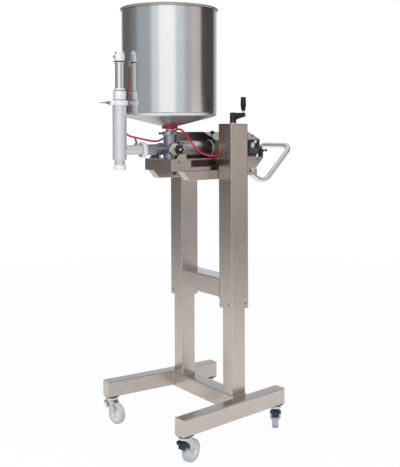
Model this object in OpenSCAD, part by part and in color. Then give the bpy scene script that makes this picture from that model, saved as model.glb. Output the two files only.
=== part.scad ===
/* [Lift frame] */
// Distance between the two post centres
post_spacing = 410; // [380:1:460]
// Outside width of the square inner posts
post_w = 76; // [60:1:80]
// Wall of the inner posts
post_wall = 3; // [2:0.5:5]
// Outside width of the square outer sleeves
sleeve_w = 100; // [96:1:110]
// Wall of the outer sleeves
sleeve_wall = 3; // [2:0.5:5]
// Height of the sleeves' lower ends above the floor, lift as shown
sleeve_bottom = 606; // [600:1:640]
// Length of the sleeves
sleeve_len = 862; // [840:1:900]
// Height of the inner posts' tops above the floor
post_top = 1040; // [1000:1:1050]
// Drop of the far post's and sleeve's tops below the near ones
far_drop = 46; // [42:1:70]
// Height of the brace's lower face
brace_z = 652; // [645:1:700]
// Height of the brace itself
brace_h = 90; // [60:1:110]
// Running gap between the guide pads and the posts or sleeves
guide_gap = 0.3; // [0.2:0.1:0.6]
// Height of each guide pad
pad_h = 60; // [40:1:80]

/* [Legs] */
// Height of the legs and of the crossbar
leg_h = 76; // [60:1:80]
// Width of the legs
leg_w = 62; // [50:1:76]
// Wall of the legs and of the crossbar
leg_wall = 3; // [2:0.5:5]
// Leg length in front of the posts' centre line
leg_front = 394; // [360:1:430]
// Leg length behind the posts' centre line
leg_rear = 228; // [200:1:260]
// Gap between a post's outer face and the leg beside it
leg_offset = 15; // [10:1:30]
// Angle by which each leg turns outwards at the front
leg_splay = 5.1; // [0:0.1:8]

/* [Casters] */
// Diameter of the caster wheels
wheel_d = 100; // [90:1:104]
// Width of the tyres
wheel_w = 30; // [24:1:32]
// Overall height of a caster
caster_h = 129; // [126:1:140]
// Distance from the swivel axis back to the axle
caster_trail = 40; // [36:1:44]
// Distance from a leg's end to its swivel axis
caster_inset = 32; // [31:1:60]
// Diameter of the wheel axles
axle_d = 10; // [8:0.5:12]

/* [Lift screw and crank] */
// Diameter of the lead screw
screw_d = 20; // [16:1:24]
// Height of the lead screw's lower end, lift as shown
screw_bottom = 930; // [900:1:940]
// Crank radius from the screw to the grip
crank_r = 58; // [45:1:60]
// Length of the crank's grip
grip_len = 65; // [50:1:80]
// Diameter of the crank's grip
grip_d = 26; // [22:1:30]

/* [Carriage] */
// Height of the carriage arms' lower faces
arm_z = 1207; // [1200:1:1215]
// Height of the carriage arms
arm_h = 43; // [40:1:48]
// Width of the carriage arms
arm_w = 50; // [40:1:55]
// Reach of the arms in front of the posts' centre line
arm_front = 249; // [230:1:270]
// Reach of the arms behind the posts' centre line
arm_rear = 186; // [176:1:205]
// Height of the machine bed
bed_h = 55; // [50:1:60]
// Width of the machine bed
bed_w = 234; // [230:2:240]
// Reach of the bed in front of the posts' centre line
bed_front = 287; // [280:1:300]
// Reach of the bed behind the posts' centre line
bed_rear = 262; // [258:1:280]
// Thickness of the bed's sheet
bed_sheet = 3; // [2:0.5:4]

/* [Push handle] */
// Diameter of the push handle's tube
handle_d = 25.4; // [22:0.1:28]
// Distance between the handle's two side tubes
handle_w = 250; // [244:1:256]
// Radius of the handle's lower bends
handle_bend = 46; // [40:1:60]
// Radius of the handle's upper corners
corner_bend = 38; // [30:1:45]
// Steepness of the handle's rising run
handle_rise = 45; // [42:1:60]
// Length of the handle's rising run
rise_len = 184.6; // [150:0.2:200]

/* [Drive housing] */
// Reach of the housing in front of the posts' centre line
cover_front = 30; // [20:1:60]
// Reach of the housing behind the posts' centre line
cover_rear = 248; // [246:1:252]
// Width of the housing
cover_w = 210; // [206:1:214]
// Height of the housing above the bed
cover_h = 125; // [120:1:140]
// Drop of the housing's sloping near shoulder
shoulder_drop = 37; // [20:1:38]
// Thickness of the housing's sheet
cover_sheet = 2; // [1.5:0.5:3]
// Front reach of the housing's far wall
shield_front = 150; // [120:1:160]
// Piston stroke
stroke = 127; // [60:1:127]

/* [Product cylinder and valve] */
// Distance from the posts' centre line forward to the valve
valve_x = 220; // [216:1:224]
// Height of the valve's and the cylinder's common axis above the bed
axis_h = 44; // [43:0.5:46]
// Outside diameter of the product cylinder
cyl_d = 76; // [70:1:78]
// Bore of the product cylinder
cyl_bore = 70; // [60:1:72]
// Diameter of the rotary plug
plug_d = 52; // [46:1:52]
// Diameter of the product ports
port_d = 34; // [24:1:38]
// Radial running clearance of pistons, plugs and screws
run_gap = 0.05; // [0.02:0.01:0.1]
// Diameter of the piston rod
rod_d = 16; // [12:1:20]

/* [Hopper] */
// Radius of the hopper
hopper_r = 225; // [200:1:235]
// Height of the hopper's cylindrical wall
hopper_wall_h = 500; // [400:1:520]
// Height of the hopper's shallow cone
cone_h = 48; // [42:1:80]
// Sheet thickness of the hopper
hopper_sheet = 2; // [1.5:0.5:3]
// Height of the hopper's outlet above the bed
hopper_lift = 152; // [151:1:160]

/* [Nozzle] */
// Clear distance from the hopper's wall to the nozzle's axis
nozzle_clear = 45; // [42:1:60]
// Outside diameter of the nozzle's tube
nozzle_d = 63.5; // [60:0.5:66]
// Length of the nozzle's tube
nozzle_len = 257; // [240:1:270]
// Height of the nozzle tube's lower end above the bed
nozzle_lift = 1; // [0:1:20]
// Outside diameter of the white nozzle tip
tip_d = 57; // [50:1:60]
// Diameter of the outlet through the tip
outlet_d = 25; // [16:1:28]
// Height of the tip
tip_h = 23; // [18:1:30]
// Height of the neck above the tip
neck_h = 23; // [18:1:30]
// Lift of the cut-off plunger
plunger_lift = 30; // [26:1:34]
// Diameter of the nozzle's air cylinder
air_d = 39; // [34:1:42]
// Length of the nozzle's air cylinder
air_len = 115; // [100:1:130]

/* [Clamps, hose and small parts] */
// Reach of a clamp's wing nut from the pipe's axis
wing_reach = 92; // [84:1:96]
// Diameter of the air hose
hose_d = 9; // [7:0.5:10]
// Diameter of the valve's lock knob
knob_d = 46; // [40:1:50]

/* [Hidden] */
$fn = 48;

clamp_wall = 5;
lug_len = 12;
bolt_d = 6;
hopper_turn = -104;
crank_turn = -72;
crank_pin_d = 10;
grip_z = 55;

// Frame levels and places, X forward is negative, near side is -Y
post_y = post_spacing / 2;
nozzle_x = valve_x + hopper_r + nozzle_clear;
leg_top = caster_h + leg_h;
sleeve_top = sleeve_bottom + sleeve_len;
far_post_top = post_top - far_drop;
far_sleeve_top = sleeve_top - far_drop;
pad_t = (sleeve_w - post_w) / 2 - sleeve_wall - guide_gap;
leg_y = post_y + post_w / 2 + leg_offset;
cap_t = 10;
cap_drop = 2;
nut_flange = 8;
bed_top = arm_z + arm_h + bed_h;
arm_y = post_y - sleeve_w / 2 - arm_w;
axis_z = bed_top + axis_h;
shoulder_y = 10;
wall_top = bed_top + cover_h - shoulder_drop;
bulk_x = 18;
bulk_t = 8;
bulk_half = cover_w / 2 - 10;
fitting_x = 60;
fitting_z = bed_top + 37;
fitting_y = -cover_w / 2 - 21;
fitting_len = 20;
stub_len = 39;
head_t = 14;
air_piston_t = 20;
drive_len = 2 * head_t + stroke + air_piston_t;
drive_w = 84;
piston_t = 25;
piston_x = -160;
valve_tube_d = 60;
barrel_d = plug_d + 8;
barrel_half = 38;
valve_rise = 118;
valve_top = bed_top + valve_rise;
ferrule_d = 64;
ferrule_t = 5;
gasket_t = 2;
stem_d = 12;
knob_stand = 20;
drive_end_d = 14;
pipe_d = 50;
arm_pipe_d = 45;
spout_joint_x = -371;
spout_turn = 115;
outlet_z = bed_top + hopper_lift;
joint_z = valve_top + gasket_t / 2;
cone_foot_r = 33;
neck_d = port_d + 6;
gasket_d = 74;
tube_bottom = bed_top + nozzle_lift;
tube_top = tube_bottom + nozzle_len;
tip_bottom = tube_bottom - neck_h - tip_h;
nozzle_clamp_t = 22;
nozzle_rim_d = nozzle_d + 5;
adaptor_h = 42;
adaptor_d = 59;
adaptor_z = tube_top + nozzle_clamp_t / 2;
air_z = adaptor_z + adaptor_h + 12;
air_top = air_z + air_len;
plunger_rod_d = 10;
switch_y = -bed_w / 2 + 12;
knob_x = -15;
knob_in = 50;
plate_x = -180;
plate_len = 145;
plate_h = 35;
plate_low = 39;
plate_t = 1.5;
panel_x = 96;
panel_lift = 4;
panel_t = 2;
gauge_x = 194;
gauge_lift = 58;
gauge_d = 26;
gauge_t = 7;

// The part's origin is on the floor, under the middle of its outer box
front_reach = nozzle_x + wing_reach;
lower_turn = 30;
dip_len = 70.4;
handle_start = 140;
handle_z = arm_z + arm_h - 16;
arm_step = sleeve_w / 2 + 6;
rear_lift = 11;
handle_hold = 60;
handle_gap = 1;
slot_len = 48;
tube_lap = 1;
bend_swell = 0.2;
handle_end_x = handle_start + handle_bend * sin(lower_turn) + dip_len * cos(lower_turn)
    + handle_bend * (sin(lower_turn) + sin(handle_rise)) + rise_len * cos(handle_rise)
    + corner_bend * cos(handle_rise);
handle_end_z = handle_z - handle_bend * (1 - cos(lower_turn)) - dip_len * sin(lower_turn)
    - handle_bend * (1 - cos(lower_turn)) + handle_bend * (1 - cos(handle_rise))
    + rise_len * sin(handle_rise) + corner_bend * sin(handle_rise);
centre_x = (front_reach - handle_end_x - handle_d / 2) / 2;

// Caster places along each leg and the way each one trails
caster_names = ["nf", "ff", "nr", "fr"];
caster_sides = [-1, 1, -1, 1];
caster_at = [-leg_front + caster_inset, -leg_front + caster_inset,
    leg_rear - caster_inset, leg_rear - caster_inset];
caster_turn = [17, -80, 50, 60];

// Route of the air hose from the elbow on the nozzle's cap to the one on the housing
hose_route = [
    [-478, 36, 1730], [-478, 36, 1712], [-474, 36, 1680], [-464, 34, 1640], [-455, 31, 1595],
    [-452, 28, 1540], [-453, 29, 1475], [-443, 35, 1436], [-417, 41, 1414], [-371, 42, 1403],
    [-333, 42, 1395], [-290, 44, 1388], [-254, 50, 1388], [-218, 58, 1400], [-186, 50, 1422],
    [-167, 25, 1440], [-161, -8, 1441], [-157, -38, 1419], [-142, -62, 1384],
    [-112, -84, 1340], [-70, -108, 1317], [-22, -122, 1320], [12, -121, 1333],
    [32, -120.4, 1341], [40, -120.4, 1342]
];

module place() {
    translate([centre_x, 0, 0]) children();
}

module at_side(side) {
    if (side > 0) children();
    else mirror([0, 1, 0]) children();
}

// A leg's own frame: front is -X, the inner face is y = 0
module leg_frame(side) {
    at_side(side) translate([0, leg_y, 0]) rotate([0, 0, -leg_splay]) children();
}

module box(x0, x1, y0, y1, z0, z1) {
    translate([x0, y0, z0]) cube([x1 - x0, y1 - y0, z1 - z0]);
}

module square_tube(w, wall, z0, z1) {
    difference() {
        box(-w / 2, w / 2, -w / 2, w / 2, z0, z1);
        box(-w / 2 + wall, w / 2 - wall, -w / 2 + wall, w / 2 - wall, z0 - 1, z1 + 1);
    }
}

// Round bar along X, Y or Z between two coordinates
module bar_x(d, x0, x1, y, z) {
    translate([x0, y, z]) rotate([0, 90, 0]) cylinder(h = x1 - x0, d = d);
}

module bar_y(d, y0, y1, x, z) {
    translate([x, y1, z]) rotate([90, 0, 0]) cylinder(h = y1 - y0, d = d);
}

module bar_z(d, z0, z1, x, y) {
    translate([x, y, z0]) cylinder(h = z1 - z0, d = d);
}

// Outline in the X-Z plane, drawn out along Y from y0 to y1
module side_plate(points, y0, y1) {
    translate([0, y1, 0]) rotate([90, 0, 0]) linear_extrude(height = y1 - y0) polygon(points);
}

module leg(side) {
    leg_frame(side) difference() {
        box(-leg_front, leg_rear, 0, leg_w, caster_h, leg_top);
        box(-leg_front + leg_wall, leg_rear - leg_wall, leg_wall, leg_w - leg_wall,
            caster_h + leg_wall, leg_top - leg_wall);
    }
}

module near_leg() {
    color("silver") place() leg(-1);
}

module far_leg() {
    color("silver") place() leg(1);
}

module crossbar() {
    reach_front = leg_y + post_w / 2 * tan(leg_splay);
    reach_rear = leg_y - post_w / 2 * tan(leg_splay);
    color("silver") place() difference() {
        translate([0, 0, caster_h]) linear_extrude(height = leg_h) polygon([
            [-post_w / 2, -reach_front], [post_w / 2, -reach_rear],
            [post_w / 2, reach_rear], [-post_w / 2, reach_front]
        ]);
        box(-post_w / 2 + leg_wall, post_w / 2 - leg_wall, -leg_y - leg_w, leg_y + leg_w,
            caster_h + leg_wall, leg_top - leg_wall);
    }
}

module near_post() {
    color("silver") place() translate([0, -post_y, 0])
        square_tube(post_w, post_wall, leg_top, post_top);
}

module far_post() {
    color("silver") place() translate([0, post_y, 0])
        square_tube(post_w, post_wall, leg_top, far_post_top);
}

// Four flat pads round a square, their inner faces at the given distance
module pad_ring(inner, z0) {
    for (turn = [0:90:270]) rotate([0, 0, turn])
        box(inner, inner + pad_t, -post_w / 2 + 6, post_w / 2 - 6, z0, z0 + pad_h);
}

module post_pads() {
    color("ivory") place() for (side = [-1, 1]) translate([0, side * post_y, 0])
        pad_ring(post_w / 2, (side < 0 ? post_top : far_post_top) - pad_h - 10);
}

module guide_pads() {
    color("ivory") place() for (side = [-1, 1]) translate([0, side * post_y, 0])
        pad_ring(post_w / 2 + guide_gap, sleeve_bottom + 4);
}

module lift_nut() {
    color("goldenrod") place() translate([0, -post_y, 0]) difference() {
        union() {
            box(-post_w / 2, post_w / 2, -post_w / 2, post_w / 2, post_top, post_top + nut_flange);
            bar_z(2.2 * screw_d, post_top - 30, post_top, 0, 0);
        }
        bar_z(screw_d + 2 * run_gap, post_top - 31, post_top + nut_flange + 1, 0, 0);
    }
}

// Casters: the swivel axis is the local Z axis and the wheel trails towards +X
head_d = 58;
head_z = caster_h - 18;
king_d = 12;
top_plate = 60;
race_d = 54;
blade_t = 3;
blade_y = wheel_w / 2 + 3;
pedal_x = -11;
pedal_drop = 29;
pedal_z = caster_h - pedal_drop;
pedal_pin_d = 5;

module caster_frame(i) {
    leg_frame(caster_sides[i]) translate([caster_at[i], leg_w / 2, 0])
        rotate([0, 0, caster_sides[i] * caster_turn[i] + leg_splay]) children();
}

module caster_plates() {
    color("silver") place() for (i = [0:3])
        leg_frame(caster_sides[i]) translate([caster_at[i], leg_w / 2, 0]) {
            box(-top_plate / 2, top_plate / 2, -top_plate / 2, top_plate / 2,
                caster_h - 4, caster_h);
            bar_z(race_d, caster_h - 7, caster_h - 4, 0, 0);
            bar_z(king_d, head_z - 5, caster_h - 7, 0, 0);
            bar_z(king_d + 8, head_z - 6.3, head_z - 3.3, 0, 0);
        }
}

module fork_blade(y0) {
    side_plate([
        [-19, head_z + 2], [-19, pedal_z - 4], [-10, pedal_z - 12],
        [caster_trail - 13, wheel_d / 2 + 6], [caster_trail - 13, wheel_d / 2],
        [caster_trail + 13, wheel_d / 2], [caster_trail + 12, wheel_d / 2 + 14],
        [27, pedal_z + 4], [24, head_z + 2]
    ], y0, y0 + blade_t);
    bar_y(26, y0, y0 + blade_t, caster_trail, wheel_d / 2);
}

module caster_fork(i) {
    color("gainsboro") place() caster_frame(i) {
        difference() {
            union() {
                bar_z(head_d, head_z, caster_h - 7.3, 0, 0);
                box(-19, 24, -blade_y - blade_t, blade_y + blade_t, head_z - 3, head_z);
                fork_blade(blade_y);
                fork_blade(-blade_y - blade_t);
            }
            bar_z(king_d + 2 * run_gap, head_z - 4, caster_h, 0, 0);
        }
        bar_y(axle_d, -blade_y - blade_t - 6, blade_y + blade_t + 6, caster_trail, wheel_d / 2);
        bar_y(pedal_pin_d, -blade_y - blade_t - 2, blade_y + blade_t + 2, pedal_x, pedal_z);
    }
}

module caster_wheel(i) {
    color("lightgray") place() caster_frame(i) {
        translate([caster_trail, 0, wheel_d / 2]) rotate([90, 0, 0]) {
            difference() {
                union() {
                    cylinder(h = wheel_w - 6, d = wheel_d - 26, center = true);
                    cylinder(h = wheel_w + 5, d = 26, center = true);
                }
                cylinder(h = wheel_w + 7, d = axle_d + 2 * run_gap, center = true);
            }
            rotate_extrude() polygon([
                [wheel_d / 2 - 13, -wheel_w / 2], [wheel_d / 2 - 4, -wheel_w / 2],
                [wheel_d / 2, -wheel_w / 2 + 7], [wheel_d / 2, wheel_w / 2 - 7],
                [wheel_d / 2 - 4, wheel_w / 2], [wheel_d / 2 - 13, wheel_w / 2]
            ]);
        }
    }
}

module caster_pedal(i) {
    color("dimgray") place() caster_frame(i) difference() {
        union() {
            side_plate([
                [pedal_x + 6, pedal_z - 7], [pedal_x + 6, pedal_z + 2], [pedal_x - 9, pedal_z + 5],
                [pedal_x - 15, pedal_z + 5], [pedal_x - 15, pedal_z - 9], [pedal_x - 3, pedal_z - 11]
            ], -blade_y + 1, blade_y - 1);
            for (side = [-1, 1]) bar_x(17, pedal_x - 18, pedal_x - 13, side * 16, pedal_z - 2.5);
        }
        bar_y(pedal_pin_d + 2 * run_gap, -blade_y, blade_y, pedal_x, pedal_z);
    }
}

module near_sleeve() {
    color("silver") place() translate([0, -post_y, 0])
        square_tube(sleeve_w, sleeve_wall, sleeve_bottom, sleeve_top);
}

module far_sleeve() {
    color("silver") place() translate([0, post_y, 0])
        square_tube(sleeve_w, sleeve_wall, sleeve_bottom, far_sleeve_top);
}

module brace() {
    brace_reach = post_y - sleeve_w / 2;
    color("silver") place() difference() {
        box(-sleeve_w / 2, sleeve_w / 2, -brace_reach, brace_reach, brace_z, brace_z + brace_h);
        box(-sleeve_w / 2 + sleeve_wall, sleeve_w / 2 - sleeve_wall, -brace_reach - 1,
            brace_reach + 1, brace_z + sleeve_wall, brace_z + brace_h - sleeve_wall);
    }
}

module top_caps() {
    inside = sleeve_w / 2 - sleeve_wall;
    color("silver") place() for (side = [-1, 1]) translate([0, side * post_y, 0])
        let (cap_top = (side < 0 ? sleeve_top : far_sleeve_top) - cap_drop) difference() {
            box(-inside, inside, -inside, inside, cap_top - cap_t, cap_top);
            if (side < 0) bar_z(screw_d + 2 * run_gap, sleeve_bottom, sleeve_top + 1, 0, 0);
        }
}

// Plate across the inside of an arm, bored for the push handle's tube
module handle_socket(x) {
    difference() {
        box(x, x + 6, arm_y + 2, arm_y + arm_w - 2, arm_z + rear_lift + 2, arm_z + arm_h - 2);
        bar_x(handle_d + 2 * run_gap, x - 1, x + 7, handle_w / 2, handle_z);
    }
}

module carriage_arms() {
    slant = arm_h * 0.86;
    color("silver") place() for (side = [-1, 1]) at_side(side) {
        for (back = [0.9, 0.3]) handle_socket(handle_start - back * handle_hold);
        arm_shell(slant);
    }
}

module arm_shell(slant) {
    difference() {
        side_plate([
            [-arm_front, arm_z + arm_h], [-arm_front + slant, arm_z], [arm_step, arm_z],
            [arm_step + rear_lift, arm_z + rear_lift], [arm_rear, arm_z + rear_lift],
            [arm_rear, arm_z + arm_h]
        ], arm_y, arm_y + arm_w);
        side_plate([
            [-arm_front + 8, arm_z + arm_h - 3], [-arm_front + slant + 3, arm_z + 3],
            [arm_step - 1.3, arm_z + 3], [arm_step + rear_lift - 1.3, arm_z + rear_lift + 3],
            [arm_rear + 1, arm_z + rear_lift + 3], [arm_rear + 1, arm_z + arm_h - 3]
        ], arm_y + 3, arm_y + arm_w - 3);
        box(arm_rear - slot_len, arm_rear + 1, handle_w / 2 - handle_d / 2 - handle_gap,
            handle_w / 2 + handle_d / 2 + handle_gap, arm_z, arm_z + rear_lift + 4);
        bar_x(handle_d + 2 * handle_gap, handle_start - handle_hold - handle_gap, arm_rear + 1,
            handle_w / 2, handle_z);
    }
}

module bed() {
    color("silver") place() {
        box(-bed_front, bed_rear, -bed_w / 2, bed_w / 2, bed_top - bed_sheet, bed_top);
        box(-bed_front, -bed_front + bed_sheet, -bed_w / 2, bed_w / 2, bed_top - bed_h, bed_top);
        for (side = [-1, 1]) at_side(side) side_plate([
            [-bed_front, bed_top - bed_h], [-bed_front, bed_top],
            [-valve_x - 42, bed_top], [-valve_x - 24, bed_top + 23], [-valve_x + 15, bed_top + 23],
            [-valve_x + 15, bed_top], [bed_rear, bed_top], [bed_rear - 50, bed_top - bed_h]
        ], bed_w / 2 - bed_sheet, bed_w / 2);
    }
}

module nameplate() {
    color("black") place() box(plate_x, plate_x + plate_len,
        -bed_w / 2 - plate_t, -bed_w / 2, bed_top - plate_low, bed_top - plate_low + plate_h);
}

// Straight and bent stretches of tube, each ending where its children start
module tube_run(d, len) {
    translate([0, 0, -tube_lap]) cylinder(h = len + 2 * tube_lap, d = d);
    translate([0, 0, len]) children();
}

module tube_turn(d, r, angle) {
    translate([r, 0, 0]) rotate([90, 0, 180]) rotate_extrude(angle = angle)
        translate([r, 0]) circle(d = d + bend_swell);
    translate([r * (1 - cos(angle)), 0, r * sin(angle)]) rotate([0, angle, 0]) children();
}

module handle_side() {
    translate([handle_start - handle_hold, -handle_w / 2, handle_z]) rotate([0, 90, 0])
        tube_run(handle_d, handle_hold) tube_turn(handle_d, handle_bend, lower_turn)
        tube_run(handle_d, dip_len) rotate([0, 0, 180])
        tube_turn(handle_d, handle_bend, lower_turn + handle_rise)
        tube_run(handle_d, rise_len) rotate([0, 0, -90])
        tube_turn(handle_d, corner_bend, 90);
}

module push_handle() {
    cross_half = handle_w / 2 - corner_bend + tube_lap;
    color("lightgray") place() {
        for (side = [-1, 1]) at_side(-side) handle_side();
        bar_y(handle_d, -cross_half, cross_half, handle_end_x, handle_end_z);
    }
}

module lead_screw() {
    color("lightgray") place() translate([0, -post_y, 0]) {
        bar_z(screw_d, screw_bottom, sleeve_top + 8, 0, 0);
        bar_z(screw_d + 14, sleeve_top - cap_drop, sleeve_top + 4, 0, 0);
        bar_z(screw_d + 14, sleeve_top - cap_drop - cap_t - 8, sleeve_top - cap_drop - cap_t, 0, 0);
    }
}

module crank_place() {
    translate([0, -post_y, sleeve_top + 4]) rotate([0, 0, crank_turn]) children();
}

module crank_arm() {
    color("dimgray") place() crank_place() {
        difference() {
            bar_z(30, 0, 48, 0, 0);
            bar_z(screw_d, -1, 4, 0, 0);
        }
        side_plate([[0, 48], [crank_r, 47], [crank_r, 27], [0, 9]], -8, 8);
        bar_z(20, 27, 47, crank_r, 0);
        bar_z(crank_pin_d, 45, grip_z + grip_len - 6, crank_r, 0);
    }
}

module crank_grip() {
    bore = crank_pin_d / 2 + run_gap;
    color("black") place() crank_place() translate([crank_r, 0, grip_z]) rotate_extrude() polygon([
        [bore, 0], [grip_d * 0.33, 0], [grip_d * 0.42, grip_len * 0.18],
        [grip_d * 0.5, grip_len * 0.45], [grip_d * 0.47, grip_len * 0.8],
        [grip_d * 0.47, grip_len - 4], [grip_d * 0.4, grip_len],
        [0, grip_len], [0, grip_len - 5], [bore, grip_len - 5]
    ]);
}

// Housing: a side outline and an end outline that cross in one shell
module cover_solid(inset, front) {
    roof = bed_top + cover_h - inset;
    w = cover_w / 2 - inset;
    eave = wall_top - inset;
    rear = cover_rear - inset;
    intersection() {
        side_plate([
            [front, bed_top - (inset > 0 ? 1 : 0)], [front, roof], [rear, roof],
            [rear, wall_top], [rear - 8, bed_top + 28], [rear - 26, bed_top - (inset > 0 ? 1 : 0)]
        ], -w, w);
        translate([-cover_front - 1, 0, 0]) rotate([90, 0, 90])
            linear_extrude(height = cover_front + cover_rear + 2) polygon([
                [-w, bed_top - 2], [-w, eave], [-shoulder_y, roof], [w, roof], [w, bed_top - 2]
            ]);
    }
}

module drive_cover() {
    color("silver") place() {
        difference() {
            cover_solid(0, -cover_front);
            cover_solid(cover_sheet, -cover_front - 1);
        }
        box(-shield_front, -cover_front, cover_w / 2 - cover_sheet, cover_w / 2, bed_top,
            bed_top + cover_h);
        bar_y(14, fitting_y - 1, -cover_w / 2, fitting_x, fitting_z);
        bar_x(13, fitting_x - fitting_len, fitting_x, fitting_y + 5.6, fitting_z);
    }
}

module bulkhead() {
    color("dimgray") place() difference() {
        box(bulk_x, bulk_x + bulk_t, -bulk_half, bulk_half, bed_top, wall_top - 8);
        bar_x(rod_d + 2 * run_gap, bulk_x - 1, bulk_x + bulk_t + 1, 0, axis_z);
    }
}

module drive_cylinder() {
    x0 = bulk_x + bulk_t;
    bore = drive_w - 16;
    color("gray") place() difference() {
        union() {
            box(x0, x0 + head_t, -drive_w / 2, drive_w / 2, axis_z - drive_w / 2,
                axis_z + drive_w / 2);
            box(x0 + drive_len - head_t, x0 + drive_len, -drive_w / 2, drive_w / 2,
                axis_z - drive_w / 2, axis_z + drive_w / 2);
            bar_x(bore + 8, x0 + head_t - 1, x0 + drive_len - head_t + 1, 0, axis_z);
            for (a = [45:90:315]) translate([0, 52 * cos(a), 52 * sin(a)])
                bar_x(8, x0, x0 + drive_len, 0, axis_z);
        }
        bar_x(bore, x0 + head_t, x0 + drive_len - head_t, 0, axis_z);
        bar_x(rod_d + 2 * run_gap, x0 - 1, x0 + head_t + 1, 0, axis_z);
    }
}

module control_panel() {
    y0 = -cover_w / 2;
    color("black") place() {
        side_plate([
            [panel_x, bed_top + panel_lift], [panel_x, wall_top - 2], [cover_rear - 3, wall_top - 2],
            [cover_rear - 9, bed_top + 29], [cover_rear - 26, bed_top + panel_lift]
        ], y0 - panel_t, y0);
        bar_y(gauge_d, y0 - panel_t - gauge_t, y0 - panel_t, gauge_x, bed_top + gauge_lift);
    }
}

module cover_knob() {
    t = atan(shoulder_drop / (cover_w / 2 - shoulder_y));
    color("black") place()
        translate([knob_x, knob_in - cover_w / 2, bed_top + cover_h
            - shoulder_drop * (1 - knob_in / (cover_w / 2 - shoulder_y))]) rotate([t, 0, 0]) {
            translate([0, 0, 0.3]) cylinder(h = 8, d = 8);
            translate([0, 0, 8]) cylinder(h = 14, d = 20);
        }
}

module product_cylinder() {
    x0 = -valve_x + stub_len;
    color("lightsteelblue") place() difference() {
        union() {
            bar_x(cyl_d, x0, bulk_x, 0, axis_z);
            bar_x(cyl_d + 8, bulk_x - 12, bulk_x - 4, 0, axis_z);
        }
        bar_x(cyl_bore, x0 - 1, bulk_x + 1, 0, axis_z);
    }
}

module product_piston() {
    color("white") place() difference() {
        union() {
            bar_x(cyl_bore - 2 * run_gap, piston_x, piston_x + piston_t, 0, axis_z);
        }
        bar_x(rod_d, piston_x + 5, piston_x + piston_t + 1, 0, axis_z);
    }
}

module piston_rod() {
    air_x = bulk_x + bulk_t + head_t + 0.5;
    color("lightgray") place() {
        bar_x(rod_d, piston_x + 5, air_x + 2, 0, axis_z);
        bar_x(drive_w - 16 - 2 * run_gap, air_x, air_x + air_piston_t - 1, 0, axis_z);
    }
}

module valve_body() {
    color("silver") place() difference() {
        union() {
            bar_z(valve_tube_d, bed_top, valve_top - ferrule_t, -valve_x, 0);
            bar_z(ferrule_d, valve_top - ferrule_t, valve_top, -valve_x, 0);
            bar_y(barrel_d, -barrel_half, barrel_half, -valve_x, axis_z);
            bar_x(cyl_d, -valve_x, -valve_x + stub_len, 0, axis_z);
            bar_x(pipe_d, spout_joint_x, -valve_x, 0, axis_z);
            bar_x(ferrule_d, spout_joint_x, spout_joint_x + ferrule_t, 0, axis_z);
        }
        bar_y(plug_d + 2 * run_gap, -barrel_half - 1, barrel_half + 1, -valve_x, axis_z);
        bar_z(port_d, axis_z, valve_top + 1, -valve_x, 0);
        bar_x(port_d, spout_joint_x - 1, -valve_x, 0, axis_z);
        bar_x(port_d, -valve_x, -valve_x + stub_len + 1, 0, axis_z);
    }
}

module valve_plug() {
    color("lightgray") place() {
        difference() {
            bar_y(plug_d, -barrel_half - 4, barrel_half + 2, -valve_x, axis_z);
            box(-valve_x - plug_d, -valve_x + plug_d, -port_d / 2 - 2, port_d / 2 + 2,
                axis_z - plug_d, axis_z + plug_d / 2 - 9);
        }
        bar_y(plug_d + 2, -barrel_half - 8, -barrel_half - 4, -valve_x, axis_z);
        bar_y(stem_d, -barrel_half - knob_stand - 24, -barrel_half - 8, -valve_x, axis_z);
        bar_y(drive_end_d, barrel_half + 2, barrel_half + 20, -valve_x, axis_z);
    }
}

module valve_knob() {
    y0 = -barrel_half - 8 - knob_stand;
    color("black") place() difference() {
        union() {
            bar_y(knob_d - 6, y0 - 22, y0 - 4, -valve_x, axis_z);
            bar_y(stem_d + 12, y0 - 4, y0, -valve_x, axis_z);
            for (a = [0:60:300])
                bar_y(14, y0 - 21, y0 - 5, -valve_x + (knob_d / 2 - 7) * cos(a),
                    axis_z + (knob_d / 2 - 7) * sin(a));
        }
        bar_y(stem_d + 2 * run_gap, y0 - 17, y0 + 1, -valve_x, axis_z);
    }
}

module valve_actuator() {
    y0 = barrel_half + 2.3;
    color("dimgray") place() {
        difference() {
            bar_y(58, y0, y0 + 48, -valve_x, axis_z);
            bar_y(drive_end_d + 2 * run_gap, y0 - 1, y0 + 20, -valve_x, axis_z);
        }
        for (x = [-20, 0, 20]) bar_z(8, bed_top, axis_z - 18, -valve_x + x, y0 + 14);
    }
}

// Hopper: one turned sheet with a rolled rim and a clamping neck
module hopper() {
    corner = 14;
    cone_top = outlet_z + cone_h;
    rim_z = cone_top + hopper_wall_h;
    port_r = port_d / 2;
    t = hopper_sheet;
    slope = cone_h / (hopper_r - cone_foot_r);
    color("silver") place() translate([-valve_x, 0, 0]) {
        rotate_extrude($fn = 96) polygon([
            [port_r, outlet_z], [cone_foot_r, outlet_z],
            [hopper_r - corner, cone_top - corner * slope - 2],
            [hopper_r - corner * 0.3, cone_top + corner * 0.25],
            [hopper_r, cone_top + corner], [hopper_r, rim_z],
            [hopper_r - t, rim_z], [hopper_r - t, cone_top + corner],
            [hopper_r - t - corner * 0.3, cone_top + corner * 0.25 + t],
            [hopper_r - corner - t, cone_top - corner * slope + t - 1],
            [cone_foot_r, outlet_z + t + 2], [port_r, outlet_z + t + 2]
        ]);
        rotate_extrude($fn = 96) translate([hopper_r + 2, rim_z]) circle(r = 5, $fn = 24);
        difference() {
            union() {
                bar_z(neck_d, joint_z + gasket_t / 2, outlet_z, 0, 0);
                bar_z(ferrule_d, joint_z + gasket_t / 2, joint_z + gasket_t / 2 + ferrule_t, 0, 0);
            }
            bar_z(port_d, joint_z, outlet_z + 1, 0, 0);
        }
    }
}

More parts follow.
